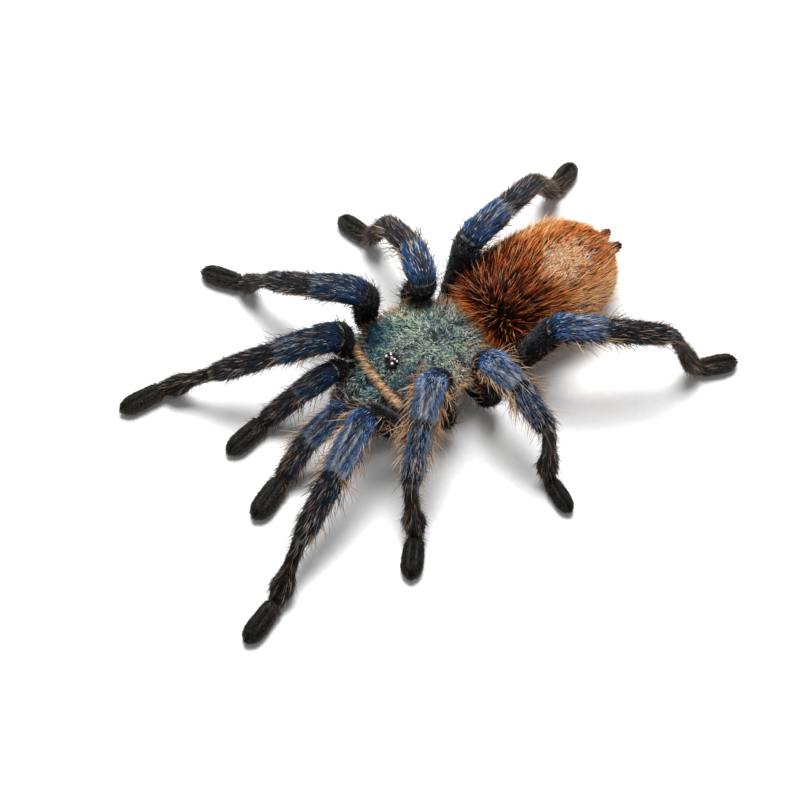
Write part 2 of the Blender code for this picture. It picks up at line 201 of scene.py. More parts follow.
def near(places, spot, reach):
    """1 at a spot in space, fading to 0 all round it."""
    return np.exp(-((places - spot) ** 2).sum(axis=-1) / reach ** 2)


def oval(x, y, middle, spreads):
    """1 at a middle seen from above, fading to 0 all round it in an oval."""
    return np.exp(-((x - middle[0]) / spreads[0]) ** 2 - ((y - middle[1]) / spreads[1]) ** 2)


def read(table, place):
    """The value at a place, from pairs of a place and a value."""
    places, values = zip(*table)
    return np.interp(place, places, values)


print("half way up an ease", ease(1.0, 2.0), "and one spread off a bell", bell(1.0, 0, 1).round(2))

# %% [markdown]
# ## Skins as grids
#
# Every part of a spider is a rounded tube or shell, so each skin here is a grid of points: rings, one after
# the other, with the same count of points in each. A grid is easy to sample, and hairs need that: they are
# rooted at random places, spread by area, and lie along the rings' way.

# %% Grid tools
def unit(vectors):
    return vectors / np.maximum(np.linalg.norm(vectors, axis=-1, keepdims=True), 1e-9)


def tube(line, across, up, half_width, half_height, sides, relief=1.0):
    """A grid round a line. Relief makes the tube thicker or thinner from place to place."""
    turn = 2 * np.pi * np.arange(sides) / sides
    sideways = half_width[:, None] * np.cos(turn) * relief
    upwards = half_height[:, None] * np.sin(turn) * relief
    return line[:, None] + across[:, None] * sideways[..., None] + up[:, None] * upwards[..., None]


def grid_ways(grid):
    """The step to the next ring and the step round the ring, for every cell of a closed grid."""
    turned = np.roll(grid, -1, axis=1)
    ahead = (grid[1:] + turned[1:] - grid[:-1] - turned[:-1]) / 2
    around = (turned[1:] + turned[:-1] - grid[1:] - grid[:-1]) / 2
    return ahead, around


def scatter(grid, count, rng, weight=1.0):
    """Random roots on a grid: place, outward normal, way of the rings, ring number and turn in radians."""
    ahead, around = grid_ways(grid)
    outward = np.cross(ahead, around)
    chance = np.linalg.norm(outward, axis=2) * weight
    picks = rng.choice(chance.size, count, p=(chance / chance.sum()).ravel())
    i, j = np.divmod(picks, grid.shape[1])
    s, t = rng.random((2, count))
    k = (j + 1) % grid.shape[1]
    low = grid[i, j] * (1 - t)[:, None] + grid[i, k] * t[:, None]
    high = grid[i + 1, j] * (1 - t)[:, None] + grid[i + 1, k] * t[:, None]
    place = low * (1 - s)[:, None] + high * s[:, None]
    return place, unit(outward[i, j]), unit(ahead[i, j]), i + s, 2 * np.pi * (j + t) / grid.shape[1]


def skin_part(grid, slot, window, **marks):
    """Faces for a grid, closed at both ends. Window is the share of the texture square that it takes."""
    rings, sides = grid.shape[:2]
    ends = np.array([grid[0].mean(axis=0), grid[-1].mean(axis=0)])
    number = np.arange(rings * sides).reshape(rings, sides)
    after = np.roll(number, -1, axis=1)
    quads = np.stack([number[:-1], number[1:], after[1:], after[:-1]], axis=-1).reshape(-1, 4)
    first = np.stack([number[0], after[0], np.full(sides, rings * sides)], axis=-1)
    last = np.stack([after[-1], number[-1], np.full(sides, rings * sides + 1)], axis=-1)
    left, right, low, high = window
    u = left + (right - left) * np.arange(sides + 1) / sides
    v = low + (high - low) * (np.arange(rings) + 1) / (rings + 1)
    cells = np.stack(np.meshgrid(v[:-1], u[:-1], indexing="ij"), axis=-1).reshape(-1, 2)[:, ::-1]
    du, dv = u[1] - u[0], v[1] - v[0]
    quad_map = cells[:, None] + np.array([(0, 0), (0, dv), (du, dv), (du, 0)])
    turn = np.stack([u[:-1], u[1:], (u[:-1] + u[1:]) / 2], axis=-1)
    first_map = np.stack([turn, np.broadcast_to((v[0], v[0], low), turn.shape)], axis=-1)
    last_map = np.stack([turn[:, (1, 0, 2)], np.broadcast_to((v[-1], v[-1], high), turn.shape)], axis=-1)
    part = {"points": np.concatenate([grid.reshape(-1, 3), ends]), "slot": slot,
            "faces": [quads, first, last], "maps": [quad_map, first_map, last_map]}
    for name, values in marks.items():
        width = values.shape[2:] if values.ndim > 2 else ()
        part[name] = np.concatenate([values.reshape(-1, *width), values[:1, 0], values[-1:, 0]])
    return part


# The skins share the left of the texture square, and the hairs take the rest of it.
SKIN_WINDOW, SKIN_AND_BEADS_WINDOW = (0.01, 0.69, 0.0, 1.0), (0.01, 0.60, 0.0, 1.0)
print("a skin takes", round(SKIN_WINDOW[1] - SKIN_WINDOW[0], 2), "of the texture's width")

# %% [markdown]
# ## Hairs as mesh
#
# A hair is a thin three-sided spike, swollen at the root and drawn to a point. A real one is 0.03 to 0.08 mm
# thick, and here it is two to three times that, or it would vanish between the picture's dots. Each hair
# takes one of 48 shades, and its share of the texture square is that shade's own column, so the whole coat
# needs one small map.

# %% Hair tools
SHADE_STEPS = 48
HAIR_COLUMN_LEFT, COLUMN_HALF = 0.72, 0.35
HAIR_SLOT, HAIR_FLOOR = 1, 0.03
HAIR_TAPER, TAPER_POWER = 0.75, 1.5
THREE_SIDES = 2 * np.pi * np.arange(3) / 3


def hair_spines(roots, normals, ways, length, width, lift, curl, sway, segments):
    """Middle lines of the hairs, from just under the skin, and the two ways that their sides face."""
    across = unit(np.cross(ways, normals))
    spine = [roots - normals * (width / 2)[:, None]]
    for k in range(segments):
        share = (k + 0.5) / segments
        rise, turn = lift + curl * share, sway * share
        step = (ways * (np.cos(rise) * np.cos(turn))[:, None]
                + across * (np.cos(rise) * np.sin(turn))[:, None] + normals * np.sin(rise)[:, None])
        if k == 0:
            upward = np.cross(across, step)
        spine.append(spine[-1] + step * (length / segments)[:, None])
    return spine, across, upward


def hair_part(roots, normals, ways, length, width, lift, curl, sway, shade, segments):
    """Spikes from the roots. Lift is the angle off the skin, curl its change and sway the sideways turn."""
    count = len(roots)
    length, width, lift, curl, sway = (np.broadcast_to(x, count) for x in (length, width, lift, curl, sway))
    spine, across, upward = hair_spines(roots, normals, ways, length, width, lift, curl, sway, segments)
    points = []
    for k in range(segments):
        half = width / 2 * (1 - HAIR_TAPER * (k / segments) ** TAPER_POWER)
        for angle in THREE_SIDES:
            points.append(spine[k] + (across * math.cos(angle) + upward * math.sin(angle)) * half[:, None])
    points.append(spine[-1])
    points = np.stack(points, axis=1)
    points[..., 2] = np.maximum(points[..., 2], HAIR_FLOOR)
    each = 3 * segments + 1
    base = (np.arange(count) * each)[:, None]
    column = (np.floor(np.clip(shade, 0, 0.9999) * SHADE_STEPS) + 0.5) / SHADE_STEPS
    left, right = (HAIR_COLUMN_LEFT + (1 - HAIR_COLUMN_LEFT) * (column + side / SHADE_STEPS)
                   for side in (-COLUMN_HALF, COLUMN_HALF))
    faces, maps = [], []
    for k in range(segments):
        for a, b in ((0, 1), (1, 2), (2, 0)):
            if k < segments - 1:
                corners = (3 * k + a, 3 * k + 3 + a, 3 * k + 3 + b, 3 * k + b)
                u, v = (left, left, right, right), (k, k + 1, k + 1, k)
            else:
                corners = (3 * k + a, 3 * segments, 3 * k + b)
                u, v = (left, (left + right) / 2, right), (k, k + 1, k)
            faces.append(base + np.array(corners))
            heights = np.broadcast_to(np.array(v) / segments, (count, len(v)))
            maps.append(np.stack([np.stack(u, axis=1), heights], axis=-1))
    quads = [n for n, face in enumerate(faces) if face.shape[1] == 4]
    tris = [n for n, face in enumerate(faces) if face.shape[1] == 3]
    groups = [group for group in (quads, tris) if group]
    along = np.array([k / segments for k in range(segments) for _ in range(3)] + [1.0])
    return {"points": points.reshape(-1, 3), "slot": HAIR_SLOT,
            "faces": [np.concatenate([faces[n] for n in group]) for group in groups],
            "maps": [np.concatenate([maps[n] for n in group]) for group in groups],
            "shade": np.repeat(column, each), "along": np.tile(along, count)}


def speckle(shade, chance, pigment, rng):
    """Some hairs, each by its chance, take a shade of the pigment instead."""
    return np.where(rng.random(len(shade)) < chance, rng.uniform(*pigment, len(shade)), shade)


print("a hair of two segments has", 3 * (2 + 1), "triangles")

# %% [markdown]
# ## From parts to a piece
#
# A piece is one skin, or several, with all the hairs that grow on it, joined in one mesh. Building it from
# flat arrays takes moments, where thousands of small objects would take minutes. Each point carries a few
# marks that the materials read: the hair's shade, how far along the hair it is, the place on a limb, how bald
# the skin is, and the skin's own measure in millimetres.

# %% Piece maker
MARKS = {"shade": 1, "along": 1, "place": 1, "bare": 1, "grain": 3}


def make_piece(node, parts, materials):
    """Join skins and hairs into one mesh that stands for one node of the frame."""
    totals, corners, maps, slots, base = [], [], [], [], 0
    for part in parts:
        for faces, uv in zip(part["faces"], part["maps"]):
            totals.append(np.full(len(faces), faces.shape[1]))
            corners.append((faces + base).ravel())
            maps.append(uv.reshape(-1, 2))
            slots.append(np.full(len(faces), part["slot"]))
        base += len(part["points"])
    totals = np.concatenate(totals)
    mesh = bpy.data.meshes.new(node + "_hairy")
    mesh.vertices.add(base)
    points = np.concatenate([part["points"] for part in parts])
    mesh.vertices.foreach_set("co", ((points + STAND_SHIFT) * MM).ravel())
    mesh.loops.add(int(totals.sum()))
    mesh.loops.foreach_set("vertex_index", np.concatenate(corners).astype(np.int32))
    mesh.polygons.add(len(totals))
    mesh.polygons.foreach_set("loop_start", (np.cumsum(totals) - totals).astype(np.int32))
    mesh.polygons.foreach_set("material_index", np.concatenate(slots).astype(np.int32))
    mesh.polygons.foreach_set("use_smooth", np.ones(len(totals), dtype=bool))
    mesh.uv_layers.new(name="OFBake").data.foreach_set("uv", np.concatenate(maps).ravel())
    for name, width in MARKS.items():
        values = [part.get(name, np.zeros((len(part["points"]), width))).reshape(-1, width) for part in parts]
        mark = mesh.attributes.new(name, "FLOAT" if width == 1 else "FLOAT_VECTOR", "POINT")
        mark.data.foreach_set("value" if width == 1 else "vector", np.concatenate(values).ravel())
    for material in materials:
        mesh.materials.append(material)
    mesh.update(calc_edges=True)
    mesh.validate()
    piece = bpy.data.objects.new(node + "_hairy", mesh)
    bpy.context.collection.objects.link(piece)
    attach(piece, "root")
    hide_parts(node)
    print(piece.name, "triangles", int((totals - 2).sum()))
    return int((totals - 2).sum())


print("marks on every point:", ", ".join(MARKS))

# %% [markdown]
# ## Limbs: the path
#
# Legs and palps stand as they dried: each has its own bearings and pitches. A limb starts under the
# carapace, climbs to the knee and drops to a flat pad. Whole numbers along it are its joints: 1 hip, 2 knee,
# 3 patella to tibia, 4 tibia to metatarsus, 5 metatarsus to tarsus, 6 tip. A palp has no metatarsus. Each
# joint is bent round an arc, as its skin is.

# %% Limb tables
# A hip has a bearing and a distance from the middle of the carapace. A stance has the bearing of each
# segment, in degrees from the head's way round to the left, and the climb of each segment but the last two,
# which come down to the floor by themselves. A girth row has a place along the limb, a half width and a half
# height of the coat.
HIP_HEIGHT, COXA_START, COXA_HEIGHT = 4.0, 9.4, 4.8
FOOT_HEIGHT, TIP_HEIGHT = 2.1, 1.6
HIPS = {
    "palp": (28, 15.1),
    "leg_1": (46, 15.5),
    "leg_2": (72, 14.5),
    "leg_3": (112, 15.5),
    "leg_4": (141, 16.0),
}
SEGMENTS = {
    "palp": (12.4, 9.2, 9.6, 8.8),
    "leg_1": (16.8, 12.3, 14.3, 11.8, 8.7),
    "leg_2": (16.4, 10.8, 12.4, 10.6, 8.0),
    "leg_3": (15.3, 9.1, 10.4, 12.3, 7.2),
    "leg_4": (17.7, 9.5, 13.1, 14.5, 7.5),
}
STANCE = {
    "leg_1_left": ((-10, 26, 26, 31, 22), (57, -21, -24)),
    "leg_2_left": ((82, 41, 45, 66, 50), (107, -16, -26)),
    "leg_3_left": ((103, 103, 93, 59, 86), (103, -10, -19)),
    "leg_4_left": ((146, 146, 150, 152, 160), (62, -4, -15)),
    "palp_left": ((-22, -4, 11, 23), (49, -30)),
    "leg_1_right": ((44, -23, -33, -39, -5), (69, -15, -31)),
    "leg_2_right": ((-120, -52, -64, -74, -55), (99, -18, -32)),
    "leg_3_right": ((-94, -105, -93, -82, -75), (116, 1, -25)),
    "leg_4_right": ((178, -166, -158, -157, -157), (75, -5, -24)),
    "palp_right": ((36, -18, -16, 10), (60, -40)),
}
LEG_GIRTH = np.array((
    (0.0, 1.2, 1.7), (0.5, 1.7, 2.0), (1.0, 2.0, 2.0), (1.3, 2.3, 2.3), (1.7, 2.9, 2.8), (2.0, 3.2, 2.9),
    (2.3, 2.8, 2.6), (2.6, 2.9, 2.6), (2.9, 2.7, 2.4), (3.0, 2.4, 2.2), (3.3, 2.5, 2.3), (3.7, 2.4, 2.2),
    (4.0, 1.9, 1.8), (4.4, 1.8, 1.7), (4.9, 1.9, 1.7), (5.0, 1.8, 1.7), (5.3, 2.0, 2.0), (5.8, 2.2, 1.8),
    (6.0, 1.8, 1.6),
))
PALP_GIRTH = np.array((
    (0.0, 1.1, 1.4), (0.5, 1.4, 1.6), (1.0, 1.6, 1.6), (1.4, 1.7, 1.8), (2.0, 2.4, 2.3), (2.5, 2.5, 2.3),
    (3.0, 2.2, 2.0), (3.4, 2.3, 2.1), (3.9, 2.1, 1.9), (4.0, 2.0, 1.9), (4.3, 2.2, 2.0), (4.8, 2.3, 1.8),
    (5.0, 1.9, 1.6),
))
print("limbs", len(STANCE), "and leg 1 is", round(sum(SEGMENTS["leg_1"]), 1), "mm long from the hip")

# %% Limb path
RINGS_PER_SEGMENT = 13
DEGREES_PER_BEND_RING = 9
BEND_RADIUS_SHARE = 1.08
GIRTH_SMOOTHING = (-0.08, -0.04, 0.0, 0.04, 0.08)


def way(bearing, pitch):
    """The direction with a bearing and a climb, both in degrees."""
    bearing, pitch = math.radians(bearing), math.radians(pitch)
    level = math.cos(pitch)
    return np.array((math.sin(bearing) * level, -math.cos(bearing) * level, math.sin(pitch)))


def is_palp(name):
    return name.startswith("palp")


def girth_at(name, position):
    """Half width and half height of the coat, with the table's corners smoothed off."""
    table = PALP_GIRTH if is_palp(name) else LEG_GIRTH
    tries = [[np.interp(position + d, table[:, 0], table[:, k]) for d in GIRTH_SMOOTHING] for k in (1, 2)]
    return np.mean(tries, axis=1)


def limb_joints(name):
    """Where the segments of a limb begin and end."""
    pair, side = name.rsplit("_", 1)
    bearing, reach = HIPS[pair]
    out = way(bearing if side == "left" else -bearing, 0)
    joints = [out * COXA_START + (0, 0, COXA_HEIGHT), out * reach + (0, 0, HIP_HEIGHT)]
    bearings, pitches = STANCE[name]
    for number, (heading, length) in enumerate(zip(bearings, SEGMENTS[pair])):
        if number < len(pitches):
            pitch = pitches[number]
        else:
            floor_gap = FOOT_HEIGHT if number == len(pitches) else TIP_HEIGHT
            pitch = math.degrees(math.asin((floor_gap - joints[-1][2]) / length))
        joints.append(joints[-1] + way(heading, pitch) * length)
    return np.array(joints)


def limb_path(name):
    """Middle line of a limb: places, headings and positions, with every joint rounded."""
    joints = limb_joints(name)
    steps = np.diff(joints, axis=0)
    lengths = np.linalg.norm(steps, axis=1)
    heads = steps / lengths[:, None]
    cuts = np.zeros(len(joints))
    bends = {}
    for k in range(1, len(joints) - 1):
        angle = math.acos(np.clip(heads[k - 1] @ heads[k], -1, 1))
        radius = girth_at(name, k)[1] * BEND_RADIUS_SHARE
        cuts[k] = radius * math.tan(angle / 2)
        bends[k] = (angle, radius)
    places, headings, positions = [], [], []
    for k, (head, length) in enumerate(zip(heads, lengths)):
        first, last = cuts[k] / length, 1 - cuts[k + 1] / length
        ring_steps = np.arange(RINGS_PER_SEGMENT) + 0.5 * (k > 0)
        for share in first + (last - first) * ring_steps / (RINGS_PER_SEGMENT - 0.5):
            places.append(joints[k] + head * share * length)
            headings.append(head)
            positions.append(k + share)
        if k + 1 not in bends:
            continue
        angle, radius = bends[k + 1]
        inward = unit(heads[k + 1] - head * (head @ heads[k + 1]))
        entry = joints[k + 1] - head * cuts[k + 1]
        count = max(1, round(math.degrees(angle) / DEGREES_PER_BEND_RING))
        for turned in angle * (np.arange(count) + 0.5) / count:
            places.append(entry + head * radius * math.sin(turned) + inward * radius * (1 - math.cos(turned)))
            headings.append(head * math.cos(turned) + inward * math.sin(turned))
            positions.append(k + 1 + (turned / angle - 0.5) * cuts[k + 1] / length)
    return np.array(places), np.array(headings), np.array(positions)


print("leg 1 left, toe at", limb_joints("leg_1_left")[-1].round(1))

# %% [markdown]
# ## Limbs: the skin
#
# Under its coat a leg is a thin hard tube, pinched at the joints, with soft bulging pads on both sides of
# the last half of the metatarsus and a broad flat pad as a foot. The foot has a furrow along its middle and
# two round lobes at its tip, where the claws hide. The skin is made slimmer than the coat by the depth of the
# hair, and a short table makes some feet a little broader or narrower, as they dried.

# %% Limb skins
LIMB_SIDES = 28
SKIN_SHARE = 0.87
SOLE_LEVEL = 0.12
LEG_END = 6
JOINT_PINCH, PINCH_REACH = {1: 0.06, 2: 0.05, 3: 0.16, 4: 0.1, 5: 0.05}, 0.045
WAIST = ((3.0, 1.0), (3.1, 0.93), (3.9, 0.93), (3.97, 0.9), (4.03, 0.74), (4.35, 0.74), (4.6, 0.94),
         (4.75, 1.0), (4.9, 0.92), (5.0, 0.8), (5.1, 0.9), (5.3, 0.98), (5.6, 1.02), (6.0, 0.95))
FOOT_WIDTH = {"leg_3_left": 0.84, "leg_2_left": 1.08, "palp_left": 1.1, "leg_1_left": 1.05}
TOE_STRETCH, TOE_REACH, TOE_ROUNDNESS, TOE_END_AREA = 0.8, 0.28, 3.0, 0.05
FURROW_DEPTH, FURROW_HALF, FOOT_WAVE, FOOT_WAVES = 0.3, 0.2, 0.03, 7
PAD_PLACE, PAD_REACH, PAD_BULGE = 4.7, 0.17, 0.48
NOTCH_DEPTH, NOTCH_HALF, NOTCH_REACH = 0.55, 0.33, 0.12


def leg_number(name, position):
    """The place along a leg that a place on any limb matches: a palp goes from tibia straight to tarsus."""
    return np.where(position > 4, position + 1, position) if is_palp(name) else position


def off_the_top(turn):
    """The angle between a turn and the top of the ring."""
    return np.abs((turn - np.pi / 2 + np.pi) % (2 * np.pi) - np.pi)


def limb_grid(name):
    """A limb's skin, the place of each ring, the angle of each side off the top, and the skin in mm."""
    places, headings, positions = limb_path(name)
    side = way(STANCE[name][0][2] - 90, 0)
    across = unit(side - headings * (headings @ side)[:, None])
    up = np.cross(across, headings)
    half_width, half_height = girth_at(name, positions) * SKIN_SHARE
    where = leg_number(name, positions)
    end = len(limb_joints(name)) - 1
    pinch = np.ones(len(where))
    for joint, depth in JOINT_PINCH.items():
        if not (is_palp(name) and joint == 5):
            pinch -= depth * bell(positions, joint, PINCH_REACH)
    toe = ease(positions - (end - TOE_REACH), TOE_REACH)
    round_off = np.sqrt(np.maximum(1 - toe ** TOE_ROUNDNESS, TOE_END_AREA))
    places = places + headings * (TOE_STRETCH * toe[:, None])
    waist = read(WAIST, where)
    foot_width = np.interp(where, (4.95, 5.15), (1, FOOT_WIDTH.get(name, 1)))
    half_width = half_width * pinch * round_off * waist * foot_width
    half_height = half_height * pinch * round_off * np.minimum(waist, 1)
    turn = 2 * np.pi * np.arange(LIMB_SIDES) / LIMB_SIDES
    cos, sin = np.cos(turn), np.sin(turn)
    off_top = off_the_top(turn)
    foot = ease(where - 5.08, 0.12) * ease(5.93 - where, 0.1)
    furrow = FOOT_WAVE * np.cos(FOOT_WAVES * turn) - FURROW_DEPTH * bell(off_top, 0, FURROW_HALF)
    pads = bell(where, PAD_PLACE, PAD_REACH, 4)
    lobe = PAD_BULGE * np.clip(-sin + 0.55, 0, 1) * np.abs(cos) ** 2
    relief = 1 + foot[:, None] * furrow + pads[:, None] * lobe
    grid = tube(places, across, up, half_width, half_height, LIMB_SIDES, relief)
    toe_end = ease(positions - (end - NOTCH_REACH), NOTCH_REACH)
    notch = NOTCH_DEPTH * bell(cos, 0, NOTCH_HALF) * toe_end[:, None]
    grid -= headings[:, None] * notch[..., None]
    grid[..., 2] = np.maximum(grid[..., 2], SOLE_LEVEL)
    run = np.concatenate([[0], np.cumsum(np.linalg.norm(np.diff(places, axis=0), axis=1))])
    measures = np.broadcast_arrays(half_width[:, None] * cos, half_height[:, None] * sin, run[:, None])
    return grid, where, off_top, np.stack(measures, axis=-1)


def stripe_bareness(where, off_top):
    """Two bald lines on the patella that draw together forwards, and one down the tibia."""
    offset = np.interp(where, (2.05, 2.95), (0.6, 0.22))
    patella = bell(off_top, offset, 0.12) * ease(where - 2.04, 0.1) * ease(2.97 - where, 0.08)
    tibia = bell(off_top, 0, 0.09) * ease(where - 3.1, 0.06) * ease(3.55 - where, 0.2)
    return patella + 0.3 * tibia


grid = limb_grid("leg_1_left")[0]
print("leg 1 left", grid.shape, "rings and sides, lowest", grid[..., 2].min().round(2))

# %% [markdown]
# ## Leg cuticle
#
# A tarantula's shell is sclerotised chitin, a hard brown-black plate with a waxy shine. It shows between
# the hairs and at the joints, where thin pale membrane lets the leg bend. Fine length-wise striae of about
# 0.1 mm come from the rows of hair sockets; they are drawn at 0.25 mm so that they show. At the knee the
# dried membrane shows as a thin pale crease, painted paler as the glint it catches, and broken wherever the
# shell closes over it.

# %% Leg cuticle
# Shell hardened under the animal's last skin and dried in the air: it is satin and streaked along its length.
# Its bald stripes are pale grey, painted paler as the highlight that they catch. Tones go by the place along
# a leg, and the knee line's half width is a share of the whole leg.
LEG_TONES = [
    (0.0, "#0a0809"), (1.93, "#050608"), (1.97, "#040404"),
    (2.01, "#0a0d1a"), (2.06, "#0e1c3a"), (2.86, "#122648"), (2.91, "#8b8a86"), (2.97, "#a5a39d"),
    (2.99, "#060506"), (3.04, "#0b1020"), (3.5, "#0a1026"), (3.95, "#06070b"), (3.97, "#8a8d92"),
    (4.0, "#6b6c70"), (4.03, "#050405"), (5.0, "#060505"), (5.1, "#040303"), (6.0, "#040303"),
]
BALD_GLEAM_GREY, CREASE_GLINT_GREY = "#b4bac0", "#808b9e"
STRIA_SPACING, STRIA_LENGTH = 0.25, 2.5
KNEE_LINE, KNEE_LINE_HALF = 1.985, 0.0011
CREASE_BREAKS_PER_MM = 0.7
CHITIN_IOR, LEG_ROUGHNESS = 1.56, 0.5

leg_cuticle, tree, shader = start_material("Leg cuticle, sclerotised chitin")
place = add(tree, "Attribute", attribute_name="place")
base = add(tree, "ValToRGB", {"Fac": place.outputs["Fac"]}, stops=[(p / LEG_END, c) for p, c in LEG_TONES])
grain = add(tree, "Attribute", attribute_name="grain")
stretch = add(tree, "VectorMath", {0: grain.outputs["Vector"],
                                   1: (1 / STRIA_SPACING, 1 / STRIA_SPACING, 1 / STRIA_LENGTH)},
              operation="MULTIPLY")
striae = add(tree, "TexNoise", {"Vector": stretch.outputs["Vector"], "Scale": 1.0, "Detail": 3.0,
                                "Roughness": 0.6})
# The knee's pale crease is membrane, painted paler as the glint it catches.
knee_line = add(tree, "Math", {0: place.outputs["Fac"], 1: KNEE_LINE / LEG_END, 2: KNEE_LINE_HALF},
                operation="COMPARE")
patchy = add(tree, "TexNoise", {"Vector": grain.outputs["Vector"], "Scale": CREASE_BREAKS_PER_MM,
                                "Detail": 2.0})
open_crease = add(tree, "MapRange", {"Value": patchy.outputs["Fac"], "From Min": 0.5, "From Max": 0.62})
crease = add(tree, "Math", {0: knee_line.outputs["Value"], 1: open_crease.outputs["Result"]},
             operation="MULTIPLY")
lined = add(tree, "Mix", {0: crease.outputs["Value"], 6: base.outputs["Color"], 7: linear(CREASE_GLINT_GREY)},
            data_type="RGBA")
# Bald stripes take a pale grey, painted paler than bare shell as the highlight they catch.
bare = add(tree, "Attribute", attribute_name="bare")
stripes = add(tree, "Mix", {0: bare.outputs["Fac"], 6: lined.outputs[2], 7: linear(BALD_GLEAM_GREY)},
              data_type="RGBA")
wear = add(tree, "ValToRGB", {"Fac": striae.outputs["Fac"]}, stops=[(0.32, "#707070"), (0.68, "#ffffff")])
streaked = add(tree, "Mix", {0: 0.85, 6: stripes.outputs[2], 7: wear.outputs["Color"]}, data_type="RGBA",
               blend_type="MULTIPLY")
gloss = add(tree, "MapRange", {"Value": striae.outputs["Fac"], "From Min": 0.3, "From Max": 0.7,
                               "To Min": LEG_ROUGHNESS - 0.1, "To Max": LEG_ROUGHNESS + 0.15})
bump = add(tree, "Bump", {"Height": striae.outputs["Fac"], "Strength": 0.5, "Distance": 0.12 * MM})
tree.links.new(streaked.outputs[2], shader.inputs["Base Color"])
tree.links.new(gloss.outputs["Result"], shader.inputs["Roughness"])
tree.links.new(bump.outputs["Normal"], shader.inputs["Normal"])
shader.inputs["IOR"].default_value = CHITIN_IOR
shader.inputs["Specular IOR Level"].default_value = 0.1
print("made", leg_cuticle.name, "with", len(tree.nodes), "nodes")

# %% [markdown]
# ## Leg hair
#
# Tarantula hair is hollow chitin. On this kind the hairs of patella and tibia hold a fine lattice that
# throws back blue light, so they look like satin metal; the rest are black, brown or tan pigment. Root and
# tip differ: the root sits in shade, and the tip is drawn out smooth and shines more.

# %% Leg hair material
# The shades run from black over brown-grey and blue to near white, and then from grey over brown to sand.
LEG_SHADES = [
    (0.00, "#050405"), (0.11, "#605a50"), (0.20, "#0b1424"), (0.33, "#2a527e"), (0.46, "#467ec4"),
    (0.58, "#86b8f6"), (0.70, "#e4eefa"), (0.78, "#e4e0d6"), (0.85, "#3e281c"), (0.91, "#bd8a60"),
    (1.00, "#f8dcbc"),
]
LEG_GREY, LEG_BROWN, LEG_SAND = 0.79, 0.86, 0.99
HAIR_IOR = 1.55


def hair_material(name, shades, root_shade_tone, root_reach, ripen, roughness, metallic):
    """Pigment by shade, with painted shade darkening it over the root's reach. Ripen moves the shade up
    towards the tip.
    """
    material, tree, shader = start_material(name)
    shade = add(tree, "Attribute", attribute_name="shade")
    along = add(tree, "Attribute", attribute_name="along")
    ripe = add(tree, "MapRange", {"Value": along.outputs["Fac"], "To Min": -ripen / 2, "To Max": ripen / 2})
    moved = add(tree, "Math", {0: shade.outputs["Fac"], 1: ripe.outputs["Result"]}, operation="ADD")
    pigment = add(tree, "ValToRGB", {"Fac": moved.outputs["Value"]}, stops=shades)
    # Painted shade of the coat over the roots: each hair darkens towards its root.
    painted_root_shade = add(tree, "ValToRGB", {"Fac": along.outputs["Fac"]},
                      stops=[(0.0, root_shade_tone), (root_reach, "#f0f0f0"), (1.0, "#ffffff")])
    colour = add(tree, "Mix", {0: 1.0, 6: pigment.outputs["Color"], 7: painted_root_shade.outputs["Color"]},
                 data_type="RGBA", blend_type="MULTIPLY")
    gloss = add(tree, "MapRange", {"Value": along.outputs["Fac"], "To Min": roughness + 0.12,
                                   "To Max": roughness - 0.08})
    tree.links.new(colour.outputs[2], shader.inputs["Base Color"])
    tree.links.new(gloss.outputs["Result"], shader.inputs["Roughness"])
    shader.inputs["Metallic"].default_value = metallic
    shader.inputs["IOR"].default_value = HAIR_IOR
    shader.inputs["Specular IOR Level"].default_value = 0.1
    return material


# The lattice grew inside the hair's own wall: it is smooth, so its blue gleams a little like metal.
leg_hair = hair_material("Leg hair, chitin with blue lattice", LEG_SHADES, root_shade_tone="#7c7c7c",
                         root_reach=0.25, ripen=0.0, roughness=0.42, metallic=0.2)
print("leg shades", len(LEG_SHADES))

# %% [markdown]
# ## Limb coats: the pigments
#
# A leg's colour follows the place: black femur, blue patella and tibia, black foot with a dark line along its
# middle and sides painted paler as the sheen of velvet. The blue is a mixture, with navy, black, grey and
# taupe hairs among it, most along the middle of the upper side, while pale hairs edge the bald stripes.
# Painted sheen brightens the blue at the sides, and painted shade darkens the underside. One table gives the
# main shade by the place along the limb, and the lit blue of a limb, which is painted light, says how
# strongly its patella and its tibia show the blue.

# %% Pigments of a limb
# Shades are places among the leg's shades, and a pair of them is the span that a pigment's hairs come from.
COAT = ((0.0, 0.01), (1.0, 0.02), (1.85, 0.03), (1.94, 0.02), (1.97, 0.02), (1.985, 0.28), (2.02, 0.40),
        (2.10, 0.46), (2.8, 0.47), (2.9, 0.55), (2.95, 0.72), (2.985, 0.02), (3.03, 0.04), (3.09, 0.42),
        (3.55, 0.38), (3.85, 0.20), (4.0, 0.02), (5.0, 0.03), (5.15, 0.10), (6.0, 0.10))
NAVY_FLECK, FEMUR_END, FOOT_START = 0.22, 1.96, 5.05
NAVY, TAUPE, BROWN_GREY, NEAR_WHITE_GLEAM = (0.17, 0.26), (0.80, 0.86), (0.04, 0.11), (0.62, 0.79)
BLACK = (0.0, 0.07)


